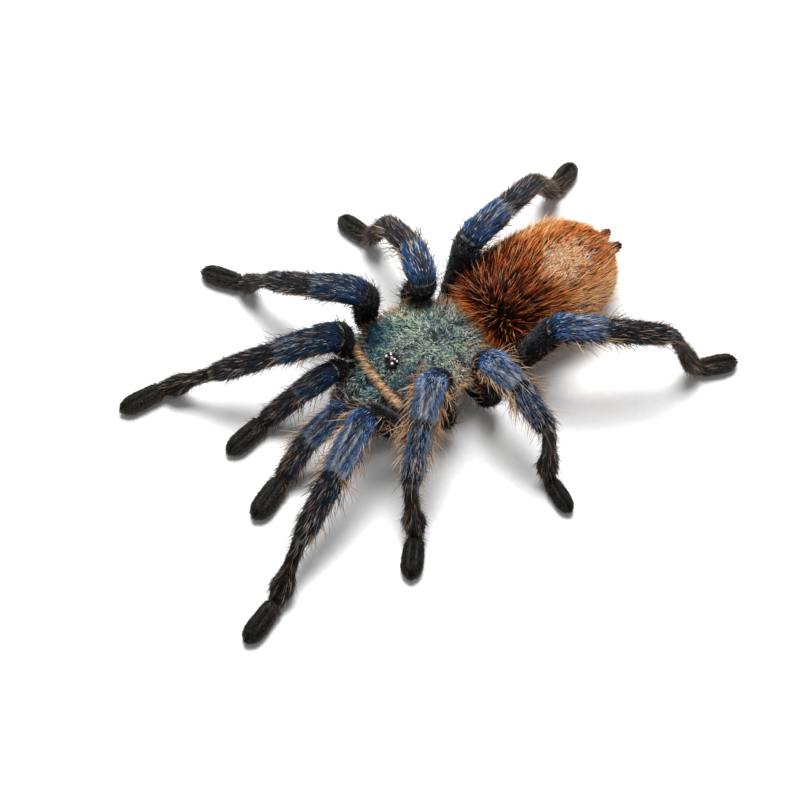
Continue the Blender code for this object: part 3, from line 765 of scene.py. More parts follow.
def coat_shade(where, off_top, lit_blue, rng):
    """The main pigment of a hair, from its place on the limb."""
    shade = read(COAT, where)
    # Painted sheen brightens the blue at the sides of the limb, and painted shade darkens its underside.
    lit_flank = bell(off_top, 1.05, 0.4)
    shaded_belly = ease(off_top - 1.7, 0.5)
    shade = np.where((shade > 0.3) & (shade < 0.6), shade + 0.14 * lit_flank - 0.03, shade)
    shade = np.where(shade < 0.65, shade * (1 - 0.75 * shaded_belly), shade)
    shade = np.where((where < FEMUR_END) & (rng.random(len(where)) < 0.55), NAVY_FLECK, shade)
    # The foot is dark along its middle, and its sides are painted paler as the sheen of velvet, paler still
    # on limbs with less lit blue.
    foot_sheen = np.interp(lit_blue[0], (0.75, 0.9), (0.085, 0.06))
    shade = np.where(where > FOOT_START, foot_sheen * ease(off_top - 0.16, 0.2), shade)
    spread = np.where(shade > 0.15, 1.0, np.where(where > FOOT_START, 0.2, 0.5))
    return shade + rng.normal(0, 0.06, len(where)) * spread


def lit_blue_at(spot, lit_blue):
    """How strongly the blue shows, as painted light: one value on the patella, another on the tibia."""
    return np.interp(spot, (2.9, 3.1), lit_blue)


def mixed_coat(spot, off, lit_blue, rng):
    """Pigments as they grow side by side: the blue has painted sheen at the sides and is greyed along the
    middle.
    """
    strength = lit_blue_at(spot, lit_blue)
    middle = bell(off, 0, 0.55)
    blue_zone = np.interp(spot, (1.98, 2.06, 3.7, 3.9), (0, 1, 1, 0))
    on_patella = np.interp(spot, (2.1, 2.2, 2.9, 3.0), (0, 1, 1, 0.3))
    shade = coat_shade(spot, off, lit_blue, rng)
    shade = np.where((shade > 0.2) & (shade < 0.65), 0.2 + (shade - 0.2) * np.minimum(strength, 1), shade)
    stripe = np.clip(stripe_bareness(spot, off), 0, 1)
    # Pale hairs are painted more often where the blue is lit, as highlight along the bald stripes.
    shares = (
        blue_zone * (0.06 + 0.5 * middle + 0.25 * (1 - strength)) * (1 - stripe),
        blue_zone * 0.4 * (1 - strength),
        blue_zone * (0.17 * strength + 0.65 * stripe) * strength,
        (0.6 * middle + 0.4 * np.clip(1 - strength, 0, 1)) * on_patella,
    )
    dark, grey, pale, taupe = (rng.random(len(spot)) < share for share in shares)
    shade = np.where(dark, rng.uniform(*NAVY, len(spot)), shade)
    shade = np.where(dark & taupe, rng.uniform(*TAUPE, len(spot)), shade)
    shade = np.where(grey, rng.uniform(*BROWN_GREY, len(spot)), shade)
    return np.where(pale, rng.uniform(*NEAR_WHITE_GLEAM, len(spot)), shade)


print("main shade at the middle of the tibia", round(float(read(COAT, 3.5)), 2))

# %% [markdown]
# ## Limb coats: five kinds of hair
#
# A dense short under-coat lies pressed to the shell, and a longer over-coat lies on it. Pale and tan flecks
# stand a little higher, most on tibia and metatarsus. Short stiff black spikes stand well off the skin among
# them, and long curled fringe hairs fan out at the sides and below, most at the joint of patella and tibia.
# Each kind has a table for its share or its length along the limb, so the same few lines dress all ten limbs.
# Widths are 0.09 to 0.17 mm, two to three times the real ones, and the counts per square millimetre are a
# small part of the real ones, so the skin beneath is dark like a deep coat.

# %% Ground for the hairs
HIDDEN_UNDER_SHIELD = 0.45


def limb_ground(name, fringe, lit_blue, tan_foot):
    """What the coats need to know of one limb."""
    grid, where, off_top, grain = limb_grid(name)
    ahead, around = grid_ways(grid)
    ring_place = (where[1:] + where[:-1]) / 2
    bare = stripe_bareness(ring_place[:, None], off_top[None, :])
    open_skin = (1 - 0.8 * np.clip(bare * lit_blue[0], 0, 1)) * (ring_place > HIDDEN_UNDER_SHIELD)[:, None]
    open_skin *= 1 - 0.6 * bell(ring_place, KNEE_LINE, 0.012)[:, None] * (off_top < 0.9)
    return {"grid": grid, "where": where, "off_top": off_top, "grain": grain, "ring_place": ring_place,
            "area": np.linalg.norm(np.cross(ahead, around), axis=2).sum(), "open_skin": open_skin,
            "fringe": fringe, "lit_blue": lit_blue, "tan_foot": tan_foot}


def sprout(limb, count, weight, rng):
    """Random roots on a limb, with each one's place along it and its angle off the top."""
    root, normal, flow, ring, turn = scatter(limb["grid"], count, rng, weight)
    spot = np.interp(ring, np.arange(len(limb["where"])), limb["where"])
    return root, normal, flow, spot, off_the_top(turn)


ground = limb_ground("leg_1_left", fringe=1.0, lit_blue=(1.0, 1.0), tan_foot=0.0)
print("leg 1 left has", round(ground["area"]), "square mm of skin")

# %% Under-coat and over-coat
UNDER_PER_MM2, UNDER_WIDTH = 9.0, 0.17
UNDER_LENGTHS = ((0, 1.1), (1.85, 1.0), (1.95, 0.6), (2.0, 0.9), (2.2, 1.2), (3.9, 0.9), (4.3, 0.8),
                 (4.9, 0.8), (5.1, 0.6))
OVER_PER_MM2, OVER_WIDTH = 9.5, 0.125
OVER_LENGTHS = ((0, 1.6), (1.85, 1.5), (1.95, 0.7), (2.0, 1.5), (2.2, 1.9), (3.7, 1.8), (3.95, 1.1),
                (4.3, 1.2), (4.9, 1.5), (5.1, 1.2), (5.3, 0.7))


def under_coat(limb, rng):
    """Short hairs, a little darker than the coat over them, and finer on the foot."""
    count = int(limb["area"] * UNDER_PER_MM2)
    root, normal, flow, spot, off = sprout(limb, count, limb["open_skin"], rng)
    foot = ease(spot - 5.0, 0.1)
    shade = mixed_coat(spot, off, limb["lit_blue"], rng)
    shade -= 0.05 * (1 - foot) * (shade < LEG_GREY)
    length = read(UNDER_LENGTHS, spot) * rng.uniform(0.7, 1.2, count)
    lift = rng.normal(0.26, 0.08, count) + 0.2 * foot
    sway = rng.normal(0, 0.22, count)
    return hair_part(root, normal, flow, length, UNDER_WIDTH - 0.04 * foot, lift, 0.0, sway, shade, 1)


def over_coat(limb, rng):
    """The hairs that give a limb its look: longer ones that lie along it."""
    count = int(limb["area"] * OVER_PER_MM2)
    root, normal, flow, spot, off = sprout(limb, count, limb["open_skin"], rng)
    foot = ease(spot - 5.0, 0.1)
    length = read(OVER_LENGTHS, spot) * rng.uniform(0.7, 1.25, count)
    lift = rng.normal(0.28, 0.08, count) + 0.15 * foot
    sway = rng.normal(0, 0.2, count)
    shade = mixed_coat(spot, off, limb["lit_blue"], rng)
    return hair_part(root, normal, flow, length, OVER_WIDTH - 0.02 * foot, lift, 0.0, sway, shade, 1)


print("coats per square mm", UNDER_PER_MM2, "and", OVER_PER_MM2)

# %% Flecks and spikes
FLECKS_PER_MM2, FLECK_WIDTH = 0.75, 0.09
FLECK_SHARES = ((1.0, 0.25), (1.9, 0.2), (2.0, 0.05), (2.3, 0.14), (2.9, 0.18), (3.1, 0.5), (3.5, 0.9),
                (3.9, 0.9), (4.1, 0.8), (4.9, 0.8), (5.1, 0.3), (5.4, 0.0))
FLECK_LENGTHS = ((0, 2.2), (2.0, 1.6), (2.2, 2.4), (3.9, 2.4), (4.4, 2.6), (4.9, 2.4))
SPIKES_PER_MM2, SPIKE_WIDTH = 1.3, 0.085
SPIKE_SHARES = ((1.0, 0.8), (1.9, 0.8), (2.0, 0.5), (2.9, 0.7), (3.05, 1.2), (3.9, 1.4), (4.9, 1.0),
                (5.05, 0.3), (5.3, 0.0))


def flecks(limb, rng):
    """Grey hairs and tan ones. A limb with a tan foot has more of them there, and more tan ones."""
    tan_foot = limb["tan_foot"]
    weight = limb["open_skin"] * read(FLECK_SHARES, limb["ring_place"])[:, None]
    weight *= np.interp(limb["ring_place"], (3.9, 4.1), (1.0, 1 + 2 * tan_foot))[:, None]
    count = int(limb["area"] * FLECKS_PER_MM2 * (0.4 + 0.5 * limb["fringe"] + 0.5 * tan_foot))
    root, normal, flow, spot, _ = sprout(limb, count, weight, rng)
    grey = rng.random(count) < np.interp(spot, (2.0, 3.0, 3.9, 4.0), (0.4, 0.5, 0.7, 1 - tan_foot))
    dull = np.interp(spot, (3.9, 4.1), (0.0, 0.03))
    shade = np.where(grey, rng.uniform(LEG_GREY, LEG_GREY + 0.035, count) + dull,
                     rng.uniform(LEG_BROWN, LEG_SAND, count) - dull)
    length = read(FLECK_LENGTHS, spot) * rng.uniform(0.7, 1.2, count)
    lift = rng.normal(0.42, 0.1, count)
    curl = rng.normal(-0.2, 0.12, count)
    sway = rng.normal(0, 0.25, count)
    return hair_part(root, normal, flow, length, FLECK_WIDTH, lift, curl, sway, shade, 2)


def spikes(limb, rng):
    """Short stiff black hairs that stand well off the skin."""
    weight = limb["open_skin"] * read(SPIKE_SHARES, limb["ring_place"])[:, None]
    count = int(limb["area"] * SPIKES_PER_MM2)
    root, normal, flow, *_ = sprout(limb, count, weight, rng)
    length = rng.uniform(1.1, 2.3, count)
    lift = rng.normal(0.9, 0.2, count)
    sway = rng.normal(0, 0.4, count)
    shade = rng.uniform(*BLACK, count)
    return hair_part(root, normal, flow, length, SPIKE_WIDTH, lift, 0.0, sway, shade, 1)


print("flecks and spikes per square mm", FLECKS_PER_MM2, "and", SPIKES_PER_MM2)

# %% Fringe
FRINGE_PER_MM2, FRINGE_WIDTH = 0.9, 0.115
FRINGE_SHARES = ((0.9, 0.5), (1.3, 1.0), (1.9, 1.0), (2.1, 0.9), (2.6, 0.9), (2.9, 2.2), (3.12, 2.2),
                 (3.3, 0.9), (3.9, 0.5), (4.2, 0.4), (4.95, 0.3), (5.0, 0.0))
FRINGE_LENGTHS = ((1.0, 4.2), (2.0, 5.0), (2.8, 5.4), (3.0, 6.4), (3.3, 5.4), (3.9, 4.2), (4.1, 2.4),
                  (5.0, 1.8))
FRINGE_DARKNESS = ((1.0, 0.5), (2.0, 0.25), (3.8, 0.4), (4.1, 0.85))
FRINGE_OFF_TOP, FRINGE_BAND = 1.8, 0.6


def fringe_hairs(limb, rng):
    """Long hairs that curl over at the tip: black ones, and brown to sand ones."""
    side = bell(limb["off_top"], FRINGE_OFF_TOP, FRINGE_BAND)[None, :]
    weight = side * read(FRINGE_SHARES, limb["ring_place"])[:, None]
    count = int(limb["area"] * FRINGE_PER_MM2 * limb["fringe"])
    root, normal, flow, spot, _ = sprout(limb, count, weight, rng)
    length = read(FRINGE_LENGTHS, spot)
    length *= 0.65 + 0.42 * limb["fringe"]
    dark_share = read(FRINGE_DARKNESS, spot) + 0.5 * (1 - lit_blue_at(spot, limb["lit_blue"]))
    dark = rng.random(count) < dark_share
    length = length * rng.uniform(0.6, 1.1, count)
    lift = rng.normal(0.85, 0.2, count)
    curl = rng.normal(-0.8, 0.4, count)
    sway = rng.normal(0, 0.6, count)
    shade = np.where(dark, rng.uniform(*BLACK, count), rng.uniform(LEG_BROWN + 0.01, LEG_SAND, count))
    return hair_part(root, normal, flow, length, FRINGE_WIDTH, lift, curl, sway, shade, 3)


print("longest fringe hair", max(length for _, length in FRINGE_LENGTHS), "mm")

# %% [markdown]
# ## Dressing the limbs
#
# No two legs of a specimen are alike. One table says how long-haired each limb is, one how strongly the blue
# of its patella and of its tibia shows, and one how tan its foot is. That blue is painted light: the three
# left legs in front, turned towards the eye, are painted bluest, and the right ones, turned away, are painted
# duller.

# %% Dress the limbs
FRINGE = {
    "leg_1_left": 0.7, "leg_2_left": 0.85, "leg_3_left": 0.75, "leg_4_left": 0.55, "palp_left": 0.55,
    "leg_1_right": 0.3, "leg_2_right": 0.3, "leg_3_right": 0.6, "leg_4_right": 0.3, "palp_right": 0.4,
}
# How strongly the blue shows on patella and tibia, painted per limb as the light and the view fall on it.
LIT_BLUE = {
    "leg_1_left": (1.2, 0.4), "leg_2_left": (1.3, 1.4), "leg_3_left": (1.3, 0.95),
    "leg_4_left": (0.82, 0.1), "palp_left": (0.7, 0.3),
    "leg_1_right": (0.4, 0.2), "leg_2_right": (0.5, 0.2), "leg_3_right": (0.48, 0.3),
    "leg_4_right": (0.62, 0.3), "palp_right": (0.4, 0.1),
}
TAN_FEET, TAN_ELSEWHERE = {"leg_3_right": 0.5, "leg_4_right": 0.9, "leg_4_left": 0.5}, 0.15
triangles = 0
for number, name in enumerate(STANCE):
    rng = np.random.default_rng(100 + number)
    limb = limb_ground(name, FRINGE[name], LIT_BLUE[name], TAN_FEET.get(name, TAN_ELSEWHERE))
    bare = stripe_bareness(limb["where"][:, None], limb["off_top"][None, :])
    place = np.broadcast_to(limb["where"][:, None] / LEG_END, limb["grid"].shape[:2])
    parts = [skin_part(limb["grid"], 0, SKIN_WINDOW, place=place, grain=limb["grain"],
                       bare=np.clip(bare * (LIT_BLUE[name][0] - 0.15), 0, 1))]
    for coat in (under_coat, over_coat, flecks, spikes, fringe_hairs):
        parts.append(coat(limb, rng))
    triangles += make_piece(name, parts, [leg_cuticle, leg_hair])
print("limbs have", triangles, "triangles")

# %% [markdown]
# ## Keeping clear of the limbs
#
# Soft parts give way where a leg leans on them. A point is tested against the limbs' middle lines, moved
# home step by step until it is free, and a hair whose root isn't free isn't grown.

# %% Room for the limbs
STOP_RINGS, HOME_STEP, MOST_STEPS = 4, 0.15, 40
limb_stops = []
for name in STANCE:
    places, _, positions = limb_path(name)
    thick = girth_at(name, positions).max(axis=0) * SKIN_SHARE
    rows = np.arange(0, len(places), STOP_RINGS)
    limb_stops.append((places[rows], thick[rows]))


def is_free(points, room):
    """Whether each point lies outside all limbs by the given room."""
    free = np.ones(len(points), dtype=bool)
    for places, thick in limb_stops:
        for start, end, fat in zip(places, places[1:], thick):
            along = end - start
            share = np.clip((points - start) @ along / (along @ along), 0, 1)
            gap = np.linalg.norm(points - start - share[:, None] * along, axis=1)
            free &= gap > fat + room
    return free


def give_way(grid, homes, room):
    """The grid with its pressed points moved towards their homes."""
    flat, homes = grid.reshape(-1, 3).copy(), np.broadcast_to(homes, grid.shape).reshape(-1, 3)
    for _ in range(MOST_STEPS):
        pressed = ~is_free(flat, room)
        if not pressed.any():
            break
        flat[pressed] += unit(homes[pressed] - flat[pressed]) * HOME_STEP
    return flat.reshape(grid.shape)


print("limb stops", sum(len(places) for places, _ in limb_stops))

# %% [markdown]
# ## Carapace: the skin
#
# The carapace is one low shield with a raised head, a pit 3 mm behind its middle and grooves that run out
# from it to the legs. It is drawn as an outline, blunt in front and rounder behind, and a height over each
# point. The body core and the flat breastplate hang below it as one skin with it.

# %% Carapace shape
CARAPACE_HALF_WIDTH, CARAPACE_FRONT, CARAPACE_REAR = 10.2, 11.4, 10.8
RIM_HEIGHT, RIM_THICKNESS, CARAPACE_DOME, DOME_SHARPNESS = 9.9, 1.2, 3.6, 0.8
HEAD_RISE, HEAD_PLACE, HEAD_SPREAD = 1.1, (0.0, -6.0), (4.6, 4.2)
GROOVE_COUNT, GROOVE_DEPTH, GROOVE_NARROWNESS = 10, 0.55, 3
PIT_PLACE, PIT_DEPTH, PIT_SPREAD = (0.3, 3.0), 0.9, 0.16
FRONT_BLUNTNESS, REAR_BLUNTNESS, FRONT_NARROWING = 4.2, 2.2, 0.16


def shield_outline(turn):
    """The shield's edge seen from above: blunt in front, rounder behind."""
    forward, sideways = np.cos(turn), np.sin(turn)
    front = forward > 0
    power = 2 / np.where(front, FRONT_BLUNTNESS, REAR_BLUNTNESS)
    half_width = CARAPACE_HALF_WIDTH * (1 - FRONT_NARROWING * np.maximum(0, forward) ** 2)
    x = np.sign(sideways) * np.abs(sideways) ** power * half_width
    y = -np.sign(forward) * np.abs(forward) ** power * np.where(front, CARAPACE_FRONT, CARAPACE_REAR)
    return x, y


def groove_at(turn):
    """1 along each groove, 0 between them."""
    return np.maximum(0, np.cos(GROOVE_COUNT * turn)) ** GROOVE_NARROWNESS


def shield_height(x, y, share, turn):
    """How high the coat stands over a point. Share is how far it lies from the pit to the edge."""
    front = y < 0
    power = np.where(front, FRONT_BLUNTNESS, REAR_BLUNTNESS)
    narrowing = FRONT_NARROWING * ease(-y, CARAPACE_FRONT) ** FRONT_BLUNTNESS
    half_width = CARAPACE_HALF_WIDTH * (1 - narrowing)
    half_length = np.where(front, CARAPACE_FRONT, CARAPACE_REAR)
    off_middle = (np.abs(x / half_width) ** power + np.abs(y / half_length) ** power) ** (1 / power)
    height = RIM_HEIGHT + CARAPACE_DOME * np.maximum(1 - off_middle ** 2, 0) ** DOME_SHARPNESS
    height = height + HEAD_RISE * oval(x, y, HEAD_PLACE, HEAD_SPREAD)
    height = height - PIT_DEPTH * bell(share, 0, PIT_SPREAD)
    return height - GROOVE_DEPTH * groove_at(turn) * np.sin(np.pi * share)


print("carapace", 2 * CARAPACE_HALF_WIDTH, "mm wide and", round(CARAPACE_FRONT + CARAPACE_REAR, 1), "mm long")

# %% Carapace skin
# Below the rim each row has its share of the outline and its height: the rim's edge, the way in under it,
# the core and the breastplate.
SHIELD_SIDES, FELT_DEPTH = 96, 0.45
SHIELD_SHARES = np.array([0.03, 0.07, 0.11, 0.15, *np.linspace(0.2, 0.92, 17), 0.95, 0.98, 1.0]) * 0.965
BREASTPLATE_HEIGHT, CORE_SHARE, CORE_FRONT_SHARE, CORE_FRONT_NARROWNESS = 3.6, 0.78, 0.97, 60
turn = 2 * np.pi * np.arange(SHIELD_SIDES) / SHIELD_SIDES
outline_x, outline_y = shield_outline(turn)
rings = []
for share in SHIELD_SHARES:
    pull = 1 - share / SHIELD_SHARES[-1]
    x, y = outline_x * share + PIT_PLACE[0] * pull, outline_y * share + PIT_PLACE[1] * pull
    rings.append(np.stack([x, y, shield_height(x, y, share, turn) - FELT_DEPTH], axis=-1))
rim = SHIELD_SHARES[-1]
underside = RIM_HEIGHT - RIM_THICKNESS
jut = np.maximum(0, np.cos(turn)) ** CORE_FRONT_NARROWNESS
core = CORE_SHARE + (CORE_FRONT_SHARE - CORE_SHARE) * jut
for share, height in (
    (rim, RIM_HEIGHT - 0.7),
    (rim * 0.985, underside),
    (core, underside - 0.2),
    (core, 6.5),
    (core * 0.98, BREASTPLATE_HEIGHT + 1.2),
    (core * 0.8, BREASTPLATE_HEIGHT + 0.2),
    (core * 0.4, BREASTPLATE_HEIGHT + 0.1),
):
    rings.append(np.stack([outline_x * share, outline_y * share, np.full(SHIELD_SIDES, height)], axis=-1))
shield = np.array(rings)
shield = give_way(shield, shield * (0, 0, 1), 0.1)
top_rings = len(SHIELD_SHARES)
print("shield", shield.shape, "top at", shield[..., 2].max().round(2), "mm")

# %% [markdown]
# ## Carapace felt
#
# Over the dark shell lies a felt of short crinkled hairs, 0.6 to 1.5 mm long, that point away from the pit.
# Sage green covers the back, teal the cheeks beside the eyes, grey with a breath of lilac lies behind the
# eyes, and the grooves stay dark where the felt is thin, darkened further by painted shade, as is the pit. A
# fringe of orange-tan hairs edges the shield, and a stiff tan brush stands along its front edge over the
# jaws.
# The felt's hairs are 0.11 mm wide, where real ones are nearer 0.04 mm.

# %% Carapace materials
# The shades run from black over teal and sage to near white, then from lilac grey over brown to tan. The
# felt is crinkled, so it scatters light and has no gleam of its own.
SHIELD_SHADES = [
    (0.00, "#060808"), (0.14, "#12262c"), (0.28, "#2c6e94"), (0.40, "#5a929c"), (0.52, "#88b09c"),
    (0.64, "#bcd2a4"), (0.72, "#f8fff2"), (0.79, "#ccc8d6"), (0.85, "#4a3424"), (0.92, "#d08c4e"),
    (1.00, "#ffe8c6"),
]
felt_hair = hair_material("Carapace felt, crinkled chitin hair", SHIELD_SHADES, root_shade_tone="#5c5c5c",
                          root_reach=0.3, ripen=0.0, roughness=0.5, metallic=0.0)

# Hardened like the leg's shell, but pitted all over by the felt's sockets, which lie about 0.3 mm apart as
# drawn and nearer 0.1 mm on the animal; painted shade darkens each pit. Its tone clouds over every 2 mm or
# so.
SHELL_PIT_SPACING, SHELL_CLOUD_SIZE = 0.3125, 2.0
shell, tree, shader = start_material("Carapace shell, sclerotised chitin")
grain = add(tree, "Attribute", attribute_name="grain")
pits = add(tree, "TexVoronoi", {"Vector": grain.outputs["Vector"], "Scale": 1 / SHELL_PIT_SPACING})
clouds = add(tree, "TexNoise", {"Vector": grain.outputs["Vector"], "Scale": 1 / SHELL_CLOUD_SIZE,
                                "Detail": 4.0})
tone = add(tree, "ValToRGB", {"Fac": clouds.outputs["Fac"]},
           stops=[(0.3, "#0b1112"), (0.55, "#122527"), (0.75, "#1c3432")])
# Painted shade darkens the middle of each pit.
dots = add(tree, "ValToRGB", {"Fac": pits.outputs["Distance"]}, stops=[(0.1, "#5a5a5a"), (0.5, "#ffffff")])
colour = add(tree, "Mix", {0: 1.0, 6: tone.outputs["Color"], 7: dots.outputs["Color"]}, data_type="RGBA",
             blend_type="MULTIPLY")
bump = add(tree, "Bump", {"Height": pits.outputs["Distance"], "Strength": 0.4, "Distance": 0.1 * MM})
gloss = add(tree, "MapRange", {"Value": clouds.outputs["Fac"], "To Min": 0.45, "To Max": 0.7})
tree.links.new(colour.outputs[2], shader.inputs["Base Color"])
tree.links.new(bump.outputs["Normal"], shader.inputs["Normal"])
tree.links.new(gloss.outputs["Result"], shader.inputs["Roughness"])
shader.inputs["IOR"].default_value = CHITIN_IOR
print("made", felt_hair.name, "and", shell.name)

# %% [markdown]
# ## Eyes
#
# All eight eyes sit on one black mound behind the front edge: two round dark ones look ahead, and the other
# six, which have a mirror layer behind the lens, shine pearly white beside and behind them, whitened further
# as painted glints. Each is a clear lens, so a bead with a polished face is the right likeness.

# %% Polished cuticle
POLISHED_IOR = 1.5


def polished(name, dark, light, cloud_size, roughness):
    """Bare cuticle, cast smooth under the old skin, so it shines. Its tone clouds over a size in mm."""
    material, tree, shader = start_material(name)
    spot = add(tree, "TexCoord")
    cloud = add(tree, "TexNoise", {"Vector": spot.outputs["Object"], "Scale": 1 / (cloud_size * MM),
                                   "Detail": 3.0})
    tone = add(tree, "ValToRGB", {"Fac": cloud.outputs["Fac"]}, stops=[(0.35, dark), (0.7, light)])
    gloss = add(tree, "MapRange", {"Value": cloud.outputs["Fac"], "To Min": roughness,
                                   "To Max": roughness + 0.1})
    tree.links.new(tone.outputs["Color"], shader.inputs["Base Color"])
    tree.links.new(gloss.outputs["Result"], shader.inputs["Roughness"])
    shader.inputs["IOR"].default_value = POLISHED_IOR
    return material


mound_shell = polished("Eye mound, bare black chitin", "#060606", "#15110f", 0.4, 0.22)
eye_lens = polished("Eye lens, clear cuticle over dark pigment", "#020203", "#1a1410", 2 / 3, 0.03)
# The pale lenses are partly the mirror layer's own colour and partly painted glints.
pearl_glint_lens = polished("Eye lens, clear cuticle over mirror layer", "#b9b6ae", "#f4f2ea", 2 / 3, 0.05)
# A wet-looking clear layer lies over what is behind each lens.
for lens in (eye_lens, pearl_glint_lens):
    shader = lens.node_tree.nodes["Principled BSDF"]
    shader.inputs["Coat Weight"].default_value = 1.0
    shader.inputs["Coat Roughness"].default_value = 0.02
print("made", mound_shell.name, "and two lenses")

# %% Eye mound and eyes
# Each eye has its place from the middle of the mound, its radius and its material's slot. The mound and the
# eyes share a narrow strip of the texture square, one over the other.
EYE_MOUND_HALF = np.array((1.6, 1.3, 1.3))
EYE_MOUND_Y = -7.7
EYES = (
    (0.45, -0.55, 1.02, 0.34, 3),
    (1.02, -0.60, 0.74, 0.33, 4),
    (0.62, 0.22, 1.08, 0.27, 4),
    (1.08, 0.42, 0.72, 0.30, 4),
)
EYE_SINK = 0.93
BEADS_LEFT, BEADS_RIGHT, MOUND_TOP = 0.62, 0.70, 0.3
FIRST_EYE_AT, EYE_STEP, EYE_SHARE = 0.35, 0.08, 0.07
mound_height = float(shield_height(0.0, EYE_MOUND_Y, -EYE_MOUND_Y / CARAPACE_FRONT, 0.0)) + 0.1
mound_centre = np.array((0.0, EYE_MOUND_Y, mound_height))


def ball_grid(centre, radii, rings, sides):
    """An egg-shaped bead as a grid, from its top to its bottom."""
    down = np.pi * (np.arange(rings) + 0.5) / rings
    turn = 2 * np.pi * np.arange(sides) / sides
    ball = np.stack([np.sin(down)[:, None] * np.sin(turn), -np.sin(down)[:, None] * np.cos(turn),
                     np.broadcast_to(np.cos(down)[:, None], (rings, sides))], axis=-1)
    return centre + ball * radii


eye_parts = [skin_part(ball_grid(mound_centre, EYE_MOUND_HALF, 12, 24), 2,
                       (BEADS_LEFT, BEADS_RIGHT, 0.0, MOUND_TOP))]
for number, (x, y, z, radius, slot) in enumerate(EYES):
    for sign in (1, -1):
        seat = mound_centre + np.array((sign * x, y, z)) * EYE_SINK
        low = FIRST_EYE_AT + EYE_STEP * (2 * number + (sign > 0))
        eye_parts.append(skin_part(ball_grid(seat, radius, 8, 12), slot,
                                   (BEADS_LEFT, BEADS_RIGHT, low, low + EYE_SHARE)))
print("eyes", len(eye_parts) - 1, "mound at height", round(mound_height, 2))

# %% Felt roots
FELT_HAIRS, FELT_WIDTH, MOUND_CLEARANCE = 10500, 0.11, 1.02
rng = np.random.default_rng(7)
place, normal, flow, ring, turn = scatter(shield[:top_rings], FELT_HAIRS, rng)
share = np.interp(ring, np.arange(top_rings), SHIELD_SHARES)
off_mound = np.linalg.norm((place - mound_centre) / EYE_MOUND_HALF, axis=1) > MOUND_CLEARANCE
keep = is_free(place + normal * 0.5, 0.0) & off_mound
place, normal, flow, share, turn = place[keep], normal[keep], flow[keep], share[keep], turn[keep]
count = len(place)
print("felt hairs", count)

# %% Felt shades
# Sage in clouds and mottles, teal on the cheeks and lilac grey behind the eyes; then frosted hairs, grey ones
# to the rear, black ones, grooves and pit darkened by painted shade, and an ochre edge. Speckles are hairs
# that took another pigment.
x, y = place[:, 0], place[:, 1]
groove = groove_at(turn) * np.sin(np.pi * share) + bell(share, 0, PIT_SPREAD)
cloud = np.sin(x * 0.9 + 2 * np.sin(y * 0.6)) * np.sin(y * 1.0 + np.sin(x * 0.8))
mottle = np.sin(x * 3.1 + 2 * np.sin(y * 2.3)) * np.sin(y * 3.7 + np.sin(x * 2.9))
rear = ease(y - 1, 6)
cheeks = oval(np.abs(x), y, (6.5, -7.8), (4.2, 4.5))
behind_eyes = oval(x, y, (0.0, -5.2), (1.7, 1.7))
shade = 0.54 + 0.1 * cloud + 0.07 * mottle + rng.normal(0, 0.08, count) - 0.05 * rear
shade -= 0.32 * cheeks
shade = speckle(shade, 0.75 * behind_eyes, (0.74, 0.8), rng)
frost = (0.5 - 0.36 * ease(y + 1, 6)) * (1 - cheeks) ** 2
shade = speckle(shade, frost, (0.66, 0.74), rng)
shade = speckle(shade, 0.3 * ease(y - 1, 4), (0.78, 0.84), rng)
murk = 0.14 - 0.1 * mottle + 0.1 * rear + 0.15 * cheeks
shade = speckle(shade, murk, (0.0, 0.18), rng)
# Hairs in the grooves and the pit are darkened: painted shade.
shade = speckle(shade, 0.75 * groove, (0.0, 0.2), rng)
ochre = ease(share - 0.86, 0.12) * 0.5 + 0.5 * np.clip(share - 0.4, 0, 1) * ease(y + 2, 3)
shade = speckle(shade, ochre, (0.88, 0.98), rng)
print("mean felt shade", shade.mean().round(2))

# %% Felt hairs
# Crinkled hairs swirl this way and that, and those in the grooves are short.
thin_out = rng.random(count) < 0.5 * groove
astray = 0.8 * np.sin(x * 2.1 + 1.7 * np.sin(y * 1.3)) + rng.normal(0, 0.5, count)
flow = flow * np.cos(astray)[:, None] + np.cross(flow, normal) * np.sin(astray)[:, None]
length = rng.uniform(0.6, 1.5, count) * np.where(thin_out, 0.5, 1.0)
lift = rng.normal(0.42, 0.2, count)
curl = rng.normal(-0.1, 0.6, count)
sway = rng.normal(0, 1.5, count)
carapace_hairs = [hair_part(place, normal, flow, length, FELT_WIDTH, lift, curl, sway, shade, 2)]
print("felt is", length.mean().round(2), "mm long on the average")

# %% Rim fringe
RIM_HAIRS, RIM_WIDTH = 1500, 0.14
place = scatter(shield[top_rings - 2:top_rings + 2], RIM_HAIRS, rng)[0]
place = place[is_free(place, 0.0)]
count = len(place)
outward = unit(place * (1, 1, 0))
upward = np.broadcast_to((0.0, 0.0, 1.0), outward.shape)
length = rng.uniform(1.4, 3.2, count)
lift = rng.normal(0.1, 0.35, count)
curl = rng.normal(-0.4, 0.3, count)
sway = rng.normal(0, 0.6, count)
tan = rng.random(count) < 0.65 * np.clip((place[:, 1] + 10) / 4, 0.1, 1)
shade = np.where(tan, rng.uniform(0.86, 0.98, count), rng.uniform(0.1, 0.6, count))
carapace_hairs.append(hair_part(place, upward, outward, length, RIM_WIDTH, lift, curl, sway, shade, 2))
print("rim hairs", count)

